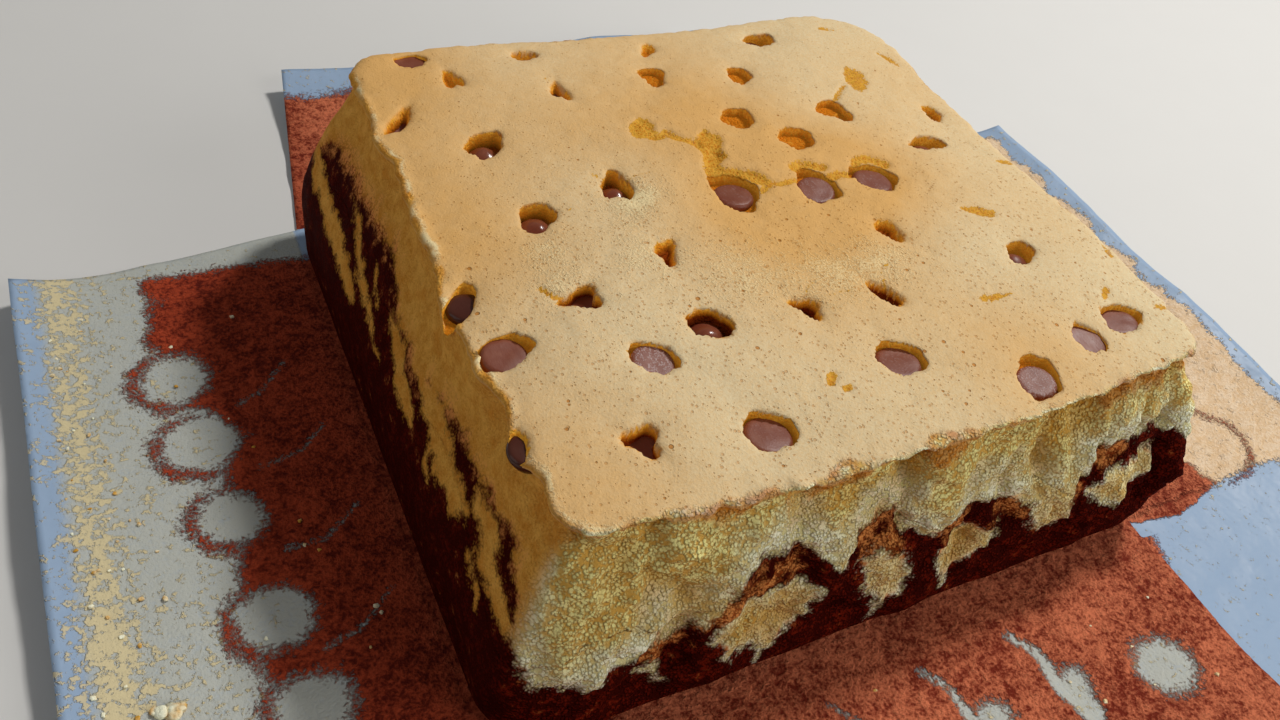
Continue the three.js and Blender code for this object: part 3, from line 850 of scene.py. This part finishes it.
def crumb_finish(name, settings, colours):
    """Sponge: porous torn crumb in two batters, a smooth peeled side and a baked crust with pinholes, with
    painted highlight and shade in the crumb and a painted glow in the pits.
    """
    finish = Finish(name)
    pores = settings.pore_size
    cocoa, toffee, depth = finish.field("cocoa"), finish.field("toffee"), finish.field("depth")
    torn, crust, amber = finish.field("torn"), finish.field("crust"), finish.field("amber")
    pit, lip, flaky = finish.field("pit"), finish.field("lip"), finish.field("flaky")
    fine = finish.noise(0.0005, 2, 0.6)
    coarse = finish.noise(0.0038, 3, 0.62)
    small, luck = finish.cells(pores)
    large, chance = finish.cells(pores * 3.6)
    # Pale grain tops and dark gaps and bubbles between them: painted highlight on the grains and painted
    # shade in the gaps.
    grains = 0.98 - small + (luck - 0.5) * 0.45 + (fine - 0.5) * 0.5 + (coarse - 0.5) * 1.3
    grains = grains.step(0.12, 0.78)
    bubble = (0.08 + chance * 0.36 - large + (fine - 0.5) * 0.4).step(0.0, 0.25)
    foam = grains * (1 - bubble * 0.85)
    peeled = torn.step(0.5, 0.12)

    ragged = (coarse - 0.5) * 6 + (fine - 0.5) * 2 + (small - 0.5) * 1.2
    dark = (cocoa + ragged).step(-1.3, 1.1)
    mixed = (toffee * 1.2 + (coarse - 0.5) * 2.4 + (fine - 0.5) * 0.8).step(0.3, 1.1)
    # Painted shade: the plain crumb turns deeper and darker where the torn face is recessed.
    deep = (depth * 0.2 + (coarse - 0.5) * 1.2).step(0.0, 0.85)
    cloud = finish.noise(0.013, 2, 0.5)
    pale = (cocoa + (coarse - 0.5) * 8 + (cloud - 0.5) * 30).step(-15.0, -2.0) * (1 - toffee * 0.75)
    plain = pale.between(colours.crumb_gold, colours.crumb)
    plain = (deep * 0.55 + toffee * 0.3).smaller(0.7).between(plain, colours.crumb_tone_and_hollow_shade)
    # Painted shade: the pores and gaps take a darker amber.
    hollow = pale.between(colours.pore_shade, tone(216, 202, 128))
    plain = ((1 - foam) * 0.8).between(plain, hollow)
    # Deep amber patches in the crumb along and just under the crust's edge.
    lip_amber = (lip + (coarse - 0.5) * 1.0 + (large - 0.5) * 0.3).step(0.35, 0.8)
    plain = (lip_amber * 0.75).between(plain, colours.amber_deep)
    side = (coarse * 0.7 + fine * 0.4).step(0.3, 0.8).between(colours.skin_deep, colours.skin)
    plain = peeled.between(plain, side)
    # The mixed and cocoa crumb are painted darker in their pores too, as shade; the cocoa is also darker on
    # the peeled side.
    caramel = (foam * 0.6 + coarse * 0.5).step(0.2, 0.8).between(tone(160, 76, 30), colours.toffee)
    plain = (mixed * (peeled * 0.4 + 0.06)).between(plain, caramel)
    brown = (foam * 0.45 + (coarse - 0.5) * 1.1 + fine * 0.3).step(0.15, 0.95) * (1 - peeled * 0.55)
    brown = brown.between(colours.cocoa_tone_and_pore_shade, colours.cocoa)
    brown = (mixed * 0.85).between(brown, caramel)
    body = dark.between(plain, brown)

    baked = (finish.field("bake") + (coarse - 0.5) * 0.3).between(colours.crust, colours.crust_brown)
    holes, size_of_hole = finish.cells(settings.pinhole_size)
    front = finish.start.node("SeparateXYZ", inputs={0: finish.place}, out="Y").step(0.05, -0.04)
    pinhole = ((size_of_hole ** 3.5) * (0.13 + front * 0.1) - holes).step(0.0, 0.05)
    pricks = ((luck ** 4.0) * (0.34 + front * 0.22 + flaky * 0.12) - small).step(0.0, 0.12)
    grain = (fine * 0.7 + small * 0.3).step(0.3, 0.68)
    baked = ((1 - grain) * 0.34).between(baked, colours.crust_brown)
    # Pale flakes in the listed patches, and along the rim partly a painted highlight.
    flakes = (flaky * 0.8 + (coarse - 0.5) * 1.5 + (fine - 0.5) * 2.6).step(0.45, 1.1)
    baked = (flakes * flaky.step(0.0, 2.0).larger(0.35) * 0.9).between(baked, colours.flake_and_rim_highlight)
    opening = tone(196, 124, 44)
    baked = (pinhole * 0.8).between((pricks * 0.4).between(baked, opening), opening)
    body = crust.between(body, baked)
    torn_skin = (1.9 - pit.step(0.0, 0.2)) * amber.step(0.0, 0.3)
    uneven = (fine - 0.5) * 0.4 + (small - 0.5) * 0.4 + (coarse - 0.5) * 0.5
    moist = (amber + uneven * torn_skin).step(0.22, 0.55)
    lace = (small * 0.9 + coarse * 0.3 + fine * 0.5 - pit * 0.45).step(0.35, 1.0)
    # Further down a pit, and more in the pits given darker walls, the wall turns deep amber and then dark
    # red-brown: partly browned crumb, partly painted shade.
    scorch_and_shade = pit.step(0.8, 1.9).between(colours.amber_deep, tone(138, 58, 14))
    body = moist.between(body, (lace * (1 - pit.step(0.7, 1.3))).between(scorch_and_shade, colours.amber))

    skin = torn.step(-0.25, 0.5) * (1 - crust)
    relief = foam * (skin * 0.9 + moist * 0.3 + 0.1).smaller(1.0)
    baked_relief = (small * 0.3 + coarse * 0.8 - pinhole - pricks * 0.6) * crust
    surface_grain = fine * (0.4 + skin * 0.2 + flakes * 0.5) + baked_relief
    normal = finish.bump(relief * 0.45 + surface_grain * 0.24, MM)
    rough = 0.82 - moist * 0.2 - crust * 0.2 + (fine - 0.5) * 0.25
    # Painted light: the upper pit walls glow amber through the emission, as if light shone through the crumb,
    # though no lamp is there.
    painted_glow = (moist * pit.step(0.0, 0.3) * (1 - pit * 0.6).larger(0.0)).between((0, 0, 0), (0.26, 0.12, 0.01))
    return finish.surface(
        base_color=body, roughness=rough, normal=normal, specular_ior_level=0.02,
        emission_color=painted_glow, emission_strength=0.75)


def chocolate_finish(colours):
    """Milk chocolate with a satin skin, and sugar bloom where a chip has some."""
    finish = Finish("milk_chocolate")
    bloom, gloss = finish.field("bloom"), finish.field("gloss")
    cloud = finish.noise(0.004, 3, 0.6)
    streaks = finish.noise(0.0006, 3, 0.6, stretch=(1.0, 0.22, 1.0))
    sparkle = (finish.noise(0.00042, 1, 0.5) * 0.6 + streaks * 0.5).step(0.52, 0.74)
    dull = (bloom * (cloud * 0.5 + sparkle * 0.9)).step(0.1, 0.95)
    base = (cloud.step(0.3, 0.75) * 0.5).between(colours.chocolate, tone(146, 92, 70))
    # Painted shade: chips at the cake's edge turn nearly black.
    base = finish.field("shade").between(base, tone(52, 20, 14))
    body = dull.between(base, colours.bloom)
    rough = 0.5 - gloss * 0.3 + dull * 0.25 + (cloud - 0.5) * 0.2
    normal = finish.bump(streaks * 0.5 + cloud * 0.5 + sparkle * bloom * 0.6, 0.0001, 0.7)
    return finish.surface(base_color=body, roughness=rough, normal=normal, specular_ior_level=0.35)


def paper_finish(colours):
    """Greaseproof paper with the skin of crumb that stuck to it."""
    finish = Finish("lining_paper")
    cocoa, pale = finish.field("cocoa_skin"), finish.field("plain_skin")
    film, bits = finish.field("film"), finish.field("bits")
    fine = finish.noise(0.0008, 3, 0.65)
    coarse = finish.noise(0.0032, 3, 0.65)
    cloud = finish.noise(0.016, 3, 0.55)
    ragged = (coarse - 0.5) * 5 + (fine - 0.5) * 6
    brown = (cocoa + ragged).step(-1.5, 1.5)
    cream = (pale + ragged * 0.7).step(-0.4, 0.8)
    net = finish.noise(0.0019, 3, 0.6)
    lace = (bits * 0.5 + (net - 0.5) * 2.6 + (fine - 0.5) * 0.9).step(0.34, 0.66)
    haze = (film * (0.6 + coarse * 0.5) + (fine - 0.5) * 0.5).step(0.2, 0.9)
    bare = (cloud * 0.5).between(colours.paper, tone(140, 164, 194))
    body = (haze * 0.8).between(bare, colours.paper_film)
    body = (lace * 0.75).between(body, colours.paper_bits)
    thick = (coarse * 0.5 + fine * 0.5).step(0.35, 0.65)
    body = cream.between(body, thick.between(tone(232, 196, 152), colours.paper_plain))
    grain = coarse + (net - 0.5) * 1.4 + (fine - 0.5) * 1.3 + (cloud - 0.5) * 0.8
    grain = grain.step(0.05, 0.95)
    # On the left flap, beside the cake's shaded side, the cocoa skin is painted darker and redder as shade;
    # elsewhere the darker tone is thicker skin.
    left = finish.start.node("SeparateXYZ", inputs={0: finish.place}, out="X").step(-0.07, -0.1)
    thick_skin_and_left_shade = left.between(colours.paper_dark, grain.between(tone(100, 24, 8), tone(178, 54, 18)))
    body = brown.between(body, (grain * (1 - left * 0.8)).between(thick_skin_and_left_shade, colours.paper_cocoa))
    height = brown * (0.6 + fine * 0.5 + net * 0.8) + cream * (0.5 + fine * 0.5)
    height = height + lace * 0.3 + haze * fine * 0.3
    normal = finish.bump(height * 0.8 + finish.noise(0.012, 3, 0.6) * 0.6, MM)
    rough = (0.4 + brown * 0.5 + cream * 0.45 + lace * 0.4 + haze * 0.25).smaller(0.92)
    return finish.surface(base_color=body, roughness=rough, normal=normal, specular_ior_level=0.2)


# ---------------------------------------------------------------------------------------------------
# Pieces


class CASTELLA_OT_stage(bpy.types.Operator):
    """Pale floor, soft lights and the camera."""

    bl_idname = "castella.stage"
    bl_label = "Stage"

    def execute(self, context):
        scene, light = context.scene, context.scene.castella_light
        line = np.linspace(-FLOOR_HALF, FLOOR_HALF, FLOOR_LINES) / MM
        x, y = (g.ravel() for g in np.meshgrid(line, line))
        points = np.column_stack([x, y, np.full(len(x), -0.05)])
        floor = make_mesh("floor", points, [grid_faces(FLOOR_LINES, FLOOR_LINES)])
        finish = Finish("pale_floor")
        grain = finish.noise(0.02, 3, 0.5)
        colour = (grain * 0.15).between(scene.castella_colours.floor, tone(210, 208, 204))
        floor.data.materials.append(finish.surface(base_color=colour, roughness=0.7))
        for name in LAMPS:
            self.lamp(name, getattr(light, name), *LAMPS[name])
        world = bpy.data.worlds.new("studio")
        world.use_nodes = True
        sky = world.node_tree.nodes["Background"].inputs
        sky["Color"].default_value, sky["Strength"].default_value = (0.93, 0.96, 1.0, 1), light.sky
        scene.world = world
        scene.view_settings.view_transform = "Standard"
        self.camera(scene)
        return {"FINISHED"}

    def lamp(self, name, power, place, target, size, colour):
        data = bpy.data.lights.new(name, "AREA")
        data.size, data.energy, data.color = size, power, colour
        lamp = bpy.data.objects.new(name, data)
        lamp.location = place
        lamp.rotation_euler = (Vector(target) - Vector(place)).to_track_quat("-Z", "Y").to_euler()
        bpy.context.scene.collection.objects.link(lamp)

    def camera(self, scene):
        """Looks down at the cake from the front left, with the horizon tipped as in the picture."""
        ahead, aside = math.cos(CAMERA_YAW), math.sin(CAMERA_YAW)
        level = math.cos(CAMERA_PITCH)
        forward = Vector((aside * level, ahead * level, -math.sin(CAMERA_PITCH)))
        right = Vector((ahead, -aside, 0))
        up = right.cross(forward)
        x = right * math.cos(CAMERA_ROLL) + up * math.sin(CAMERA_ROLL)
        y = up * math.cos(CAMERA_ROLL) - right * math.sin(CAMERA_ROLL)
        turn = Matrix((x, y, -forward)).transposed().to_4x4()
        data = bpy.data.cameras.new("camera")
        data.sensor_width, data.lens = CAMERA_SENSOR, CAMERA_LENS
        data.clip_start, data.clip_end = 0.01, 20
        camera = bpy.data.objects.new("camera", data)
        camera.matrix_world = Matrix.Translation(CAMERA_PLACE) @ turn
        scene.collection.objects.link(camera)
        scene.camera = camera


class CASTELLA_OT_plain_sponge(bpy.types.Operator):
    """Upper layer of plain sponge with the crust on it."""

    bl_idname = "castella.plain_sponge"
    bl_label = "Plain sponge"

    def execute(self, context):
        settings = context.scene.castella_sizes
        top, top_fields = crust_points(settings)
        count = CELLS + 1
        number = np.arange(count * count).reshape(count, count)
        rim = np.concatenate([number[0, :-1], number[:-1, -1], number[-1, :0:-1], number[:0:-1, 0]])
        side, along = columns_round()
        low = seam_round(side, along)
        parts, fields = [top], [top_fields]
        drop = top[rim, 2] - RIM_HEIGHT
        notch = smooth((-drop - 2.5) / 2)
        for row in range(1, PLAIN_ROWS + 1):
            share = row / PLAIN_ROWS
            points, extra = side_surface(side, along, mix(RIM_HEIGHT, low, share), settings)
            points[:, 2] += drop * (1 - smooth(share * 2.2))
            edge = np.exp(-share * 6)
            points[:, :2] = mix(points[:, :2], top[rim, :2], (notch * edge)[:, None])
            parts.append(points)
            extra["amber"] = notch * edge * 0.6
            extra["bake"] = np.full(len(side), 0.5)
            extra["crust"] = 0.9 * (1 - smooth(share * 22)) * (1 - notch)
            fields.append(extra)
        inner = parts[-1] * (0.96, 0.96, 1)
        parts += [inner, [[0, 0, SEAM_MIDDLE]]]
        fields += [fields[-1], {key: np.zeros(1) for key in top_fields}]
        column = np.arange(len(rim))
        after = np.roll(column, -1)
        first = len(top)
        last = first + PLAIN_ROWS * len(rim)
        faces = [
            grid_faces(count, count),
            np.column_stack([first + column, first + after, rim[after], rim]),
            grid_faces(PLAIN_ROWS + 1, len(rim), first, True)[:, ::-1],
            fan(last + column, last + len(rim)),
        ]
        points = np.concatenate(parts)
        points[:, 2] += CAKE_FOOT
        piece = make_mesh("plain_sponge_crumb", points, faces, join_fields(fields))
        piece.data.materials.append(crumb_finish("plain_crumb", settings, context.scene.castella_colours))
        place(piece, "plain_crumb", "plain_sponge")
        return {"FINISHED"}


class CASTELLA_OT_cocoa_sponge(bpy.types.Operator):
    """Lower layer of cocoa sponge, with the plain batter marbled into it."""

    bl_idname = "castella.cocoa_sponge"
    bl_label = "Cocoa sponge"

    def execute(self, context):
        settings = context.scene.castella_sizes
        side, along = columns_round()
        high = seam_round(side, along) - SEAM_GAP
        heights = [high * (1 - row / COCOA_ROWS) for row in range(COCOA_ROWS + 1)]
        parts, fields = zip(*(side_surface(side, along, height, settings) for height in heights))
        middles = [[0, 0, parts[-1][:, 2].mean()], [0, 0, SEAM_MIDDLE - 0.3]]
        points = np.concatenate([*parts, middles])
        points[:, 2] += CAKE_FOOT
        fields = [*fields, {key: np.zeros(2) for key in fields[0]}]
        count = len(side)
        column, hub = np.arange(count), (COCOA_ROWS + 1) * count
        faces = [
            grid_faces(COCOA_ROWS + 1, count, 0, True)[:, ::-1],
            fan(COCOA_ROWS * count + column, hub),
            fan(column, hub + 1)[:, ::-1],
        ]
        piece = make_mesh("cocoa_sponge_crumb", points, faces, join_fields(fields))
        piece.data.materials.append(crumb_finish("cocoa_crumb", settings, context.scene.castella_colours))
        place(piece, "cocoa_crumb", "cocoa_sponge")
        return {"FINISHED"}


class CASTELLA_OT_chips(bpy.types.Operator):
    """Chocolate chips in their pits."""

    bl_idname = "castella.chips"
    bl_label = "Chocolate chips"

    def execute(self, context):
        finish = chocolate_finish(context.scene.castella_colours)
        for number, way, *_ in PITS:
            piece = self.chip(number, way)
            piece.data.materials.append(finish)
            place(piece, "chocolate", f"chip_{number:02d}")
        return {"FINISHED"}

    def chip(self, number, way):
        """A chip where its solid is: a flat round face above and a rounded point below, or turned over."""
        order = number - 1
        low, high = (np.array(corner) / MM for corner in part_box(f"chip_{number:02d}"))
        grown = 1 + 0.07 * math.sin(order * 1.7)
        size = CHIP_RADIUS * grown * (1.1 if number in (18, 19) else 1.04)
        tall = CHIP_HEIGHT * grown
        knots = len(CHIP_PROFILE)
        sample = np.linspace(0, knots - 1, 2 * knots - 1)
        radius, fall = (np.interp(sample, range(knots), values) for values in zip(*CHIP_PROFILE))
        angle = np.linspace(0, 2 * math.pi, CHIP_SIDES, endpoint=False)
        ring_x = np.outer(radius[1:-1], np.cos(angle)).ravel() * size
        ring_y = np.outer(radius[1:-1], np.sin(angle)).ravel() * size
        ring_z = np.repeat(-fall[1:-1], CHIP_SIDES) * tall
        points = np.vstack([[0, 0, 0], np.column_stack([ring_x, ring_y, ring_z]), [0, 0, -tall]])
        wobble = 1 + 0.035 * noise(points + number * 17.0, 4.0, 71)
        points[:, :2] *= wobble[:, None]
        points[:, 2] += 0.12 * noise(points + number * 9.0, 2.6, 72) - 0.12
        turn = order * 2.4
        axis = Vector((math.cos(turn), math.sin(turn), 0))
        spin = Matrix.Rotation(math.radians(LEAN[way]), 3, axis)
        if way == "dome":
            spin = spin @ Matrix.Rotation(math.pi, 3, axis)
        points = points @ np.array(spin).T
        middle = (points.min(axis=0) + points.max(axis=0)) / 2
        points += (low + high) / 2 - middle
        rings = len(radius) - 2
        column = np.arange(CHIP_SIDES)
        last = 1 + (rings - 1) * CHIP_SIDES
        faces = [
            grid_faces(rings, CHIP_SIDES, 1, True)[:, ::-1],
            fan(1 + column, 0)[:, ::-1],
            fan(last + column, len(points) - 1),
        ]
        fields = {
            "bloom": np.full(len(points), BLOOM.get(number, 0.12)),
            "gloss": np.full(len(points), 1.0 if number in GLOSS else 0.2),
            "shade": np.full(len(points), 0.8 if number in EDGE_SHADE else 0.0),
        }
        return make_mesh(f"chip_{number:02d}_chocolate", points, faces, fields)


class CASTELLA_OT_lining_paper(bpy.types.Operator):
    """Peeled lining paper, with the skin of the cake on it."""

    bl_idname = "castella.lining_paper"
    bl_label = "Lining paper"

    def execute(self, context):
        settings = context.scene.castella_sizes
        reach = [half + FLAP_REACH for half in BASE_HALF]
        across, away = (np.linspace(-r, r, int(2 * r / PAPER_CELL) + 1) for r in reach)
        grid_x, grid_y = (g.ravel() for g in np.meshgrid(across, away))
        z, x, y, beyond = paper_height(grid_x, grid_y)
        flat = np.column_stack([x, y, np.zeros(len(x))])
        cocoa, pale, film, bits = self.skins(x, y)
        z += settings.skin_height / MM * smooth(cocoa / 2 + 0.5) * (0.6 + 0.4 * noise(flat, 1.8, 83))
        z = np.where(beyond <= 0, 0.42, z)
        points = np.column_stack([x, y, z])
        faces = grid_faces(len(away), len(across))
        corner = (np.abs(grid_x) > BASE_HALF[0] + 0.5) & (grid_y > BASE_HALF[1] + 0.5)
        faces = faces[~corner[faces].any(axis=1)]
        used = np.unique(faces)
        renumber = np.full(len(points), -1)
        renumber[used] = np.arange(len(used))
        points, faces = closed_sheet(points[used], renumber[faces], PAPER_THICKNESS)
        skins = {"cocoa_skin": (cocoa, -9), "plain_skin": (pale, -9), "film": (film, 0), "bits": (bits, 0)}
        fields = {
            name: np.concatenate([above[used], np.full(len(used), below)])
            for name, (above, below) in skins.items()
        }
        piece = make_mesh("lining_paper_sheet", points, faces, fields)
        piece.data.materials.append(paper_finish(context.scene.castella_colours))
        place(piece, "baking_paper", "lining_paper")
        return {"FINISHED"}

    def skins(self, x, y):
        """How far into cocoa skin and plain skin each point is, and how filmed and crumby the paper is."""
        flat = np.column_stack([x, y, np.zeros(len(x))])
        wave = noise(flat, 9, 91) * 2.5 + noise(flat, 3.5, 92) * 1.4
        lobes = 6 * np.abs(np.sin((y + 12) / 8.0)) - 3
        left = np.minimum(x + 123 + wave + lobes + 10 * smooth((y - 20) / 30), 72 - y)
        edge = 88 + (y + 87) * 0.36
        front = np.minimum.reduce([y + 151 + wave, edge - x + wave * 0.3, x + 150])
        back = np.minimum(145 - y + wave, 200 - np.abs(x))
        cocoa = np.where(y < -84, np.maximum(front, np.minimum(left, y + 150)), left)
        cocoa = np.where(y > 84, back, cocoa)
        right = x > 84
        patch = -np.abs(x - 98 + wave) + 8 + 12 * smooth((-y - 62) / 14) - 5 * np.maximum(0, np.abs(y) - 82)
        for cx, cy, squash, radius, past in ((122, -70, 1.3, 17, 124 - x), (124, 10, 1.2, 20, y - 8)):
            gap = np.hypot(x - cx, (y - cy) * squash) - radius + wave * 0.5
            patch = np.maximum(patch, 0.2 - np.abs(gap) - np.maximum(0, past) / 3)
        flap = right & (y > -88)
        cocoa = np.where(flap, patch, cocoa)
        cocoa = np.where(right & ~flap, np.minimum(cocoa, edge - x + wave * 0.3), cocoa)
        pale = np.where(flap, np.minimum.reduce([y + 82 + wave * 0.3, 158 - x + wave, 70 - y]), -9.0)
        film = np.where(x < -91, smooth((x + 161) / 6), np.where(right, 0.05, smooth((-y - 80) / 20)))
        for cx, cy, radius, bend in PAPER_DOTS:
            gap = np.hypot(x - cx, y - cy) + wave * 0.25 - radius
            cocoa = np.minimum(cocoa, gap)
            angle = np.arctan2(y - cy, x - cx)
            reach = (1 + np.cos(angle - bend)) / 2
            cocoa = np.maximum(cocoa, 1.5 * reach - np.abs(gap - 1.2) - 0.2)
        for line in PALE_STROKES:
            gap, place = along_line(np.stack([x, y], axis=1), line)
            wide, thin = (2.2, 0.6 + line[0][0] / 70) if line[0][0] > -80 else (0.2, 0.15)
            cocoa = np.minimum(cocoa, 2.5 * (gap - thin - wide * (1 - place) ** 2))
        bits = (0.3 + 0.25 * smooth((-y - 5) / 40)) * smooth((-x - 122) / 12)
        bits += 0.95 * bell((x + 153) / 5) + 0.12 * noise(flat, 14, 93)
        bits = np.where(x < -91, bits, 0.12)
        return cocoa, pale, film, np.where(right & (y < -84), 0.0, bits)


class CASTELLA_OT_crumbs(bpy.types.Operator):
    """Loose crumbs on the lining paper."""

    bl_idname = "castella.crumbs"
    bl_label = "Crumbs"

    def execute(self, context):
        colours = context.scene.castella_colours
        finish = Finish("loose_crumb")
        fine, coarse = finish.noise(0.0006, 2, 0.6), finish.noise(0.004, 2, 0.5)
        body = coarse.step(0.35, 0.65).between(colours.crumb_tone_and_hollow_shade, colours.crumb)
        normal = finish.bump(fine, 0.0003)
        material = finish.surface(base_color=body, roughness=0.85, normal=normal)
        draw = np.random.default_rng(5)
        middles = np.column_stack([
            np.concatenate([
                draw.normal(-150, 5, 50), draw.uniform(-140, -100, 14), draw.uniform(-80, 110, 16),
            ]),
            np.concatenate([draw.uniform(-70, 60, 64), draw.uniform(-135, -90, 16)]),
        ])
        middles[:, 0] = np.clip(middles[:, 0], -157, 120)
        middles = np.vstack([middles, [(-146, -52), (-144.5, -53), (-143.2, -52.4), (-147.4, -51.2)]])
        sizes = np.concatenate([draw.uniform(0.25, 0.6, len(middles) - 4), [1.4, 1.6, 1.3, 0.9]])
        points, faces = [], []
        for number, ((x, y), size) in enumerate(zip(middles, sizes)):
            ball, corners = self.lump(draw.uniform(0.75, 1.25, 3) * size, number)
            faces.append(corners + sum(len(p) for p in points))
            z = paper_height(np.array([x]), np.array([y]))[0][0]
            points.append(ball + (x, y, z + size * 0.55))
        piece = make_mesh("loose_crumbs", np.concatenate(points), [np.concatenate(faces)])
        piece.data.materials.append(material)
        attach(piece, "root")
        return {"FINISHED"}

    def lump(self, size, number):
        """A small uneven ball as points and four-sided faces: a rounded cube."""
        line = np.linspace(-1, 1, 5)
        u, v = (g.ravel() for g in np.meshgrid(line, line))
        w = np.ones(len(u))
        sides = [(u, v, w), (v, u, -w), (w, u, v), (-w, v, u), (v, w, u), (u, -w, v)]
        points = np.concatenate([np.column_stack(side) for side in sides])
        faces = np.concatenate([grid_faces(5, 5, 25 * k) for k in range(6)])
        _, first, back = np.unique(points.round(3), axis=0, return_index=True, return_inverse=True)
        points, faces = points[first], back.ravel()[faces]
        points = points / np.linalg.norm(points, axis=1)[:, None]
        points *= (1 + 0.55 * noise(points * 2 + number * 7.0, 1.3, 73))[:, None]
        return points * size * (1, 1, 0.6), faces


class CASTELLA_PT_panel(bpy.types.Panel):
    """Lists the cake's pieces, sizes and colours."""

    bl_idname = "CASTELLA_PT_panel"
    bl_label = "Castella sponge cake"
    bl_space_type = "VIEW_3D"
    bl_region_type = "UI"
    bl_category = "Castella"

    def draw(self, context):
        for operator in OPERATORS:
            self.layout.operator(operator.bl_idname)
        scene = context.scene
        for group in (scene.castella_sizes, scene.castella_colours, scene.castella_light):
            box = self.layout.box()
            for name in group.__annotations__:
                box.prop(group, name)


OPERATORS = (
    CASTELLA_OT_stage,
    CASTELLA_OT_plain_sponge,
    CASTELLA_OT_cocoa_sponge,
    CASTELLA_OT_chips,
    CASTELLA_OT_lining_paper,
    CASTELLA_OT_crumbs,
)
CLASSES = (CastellaSizes, CastellaColours, CastellaLight, *OPERATORS, CASTELLA_PT_panel)


def register():
    for kind in CLASSES:
        bpy.utils.register_class(kind)
    bpy.types.Scene.castella_sizes = PointerProperty(type=CastellaSizes)
    bpy.types.Scene.castella_colours = PointerProperty(type=CastellaColours)
    bpy.types.Scene.castella_light = PointerProperty(type=CastellaLight)


def unregister():
    del bpy.types.Scene.castella_sizes, bpy.types.Scene.castella_colours, bpy.types.Scene.castella_light
    for kind in reversed(CLASSES):
        bpy.utils.unregister_class(kind)


def main():
    """Makes every piece in order."""
    register()
    bpy.ops.castella.stage()
    bpy.ops.castella.plain_sponge()
    bpy.ops.castella.cocoa_sponge()
    bpy.ops.castella.chips()
    bpy.ops.castella.lining_paper()
    bpy.ops.castella.crumbs()


if __name__ == "__main__":
    main()
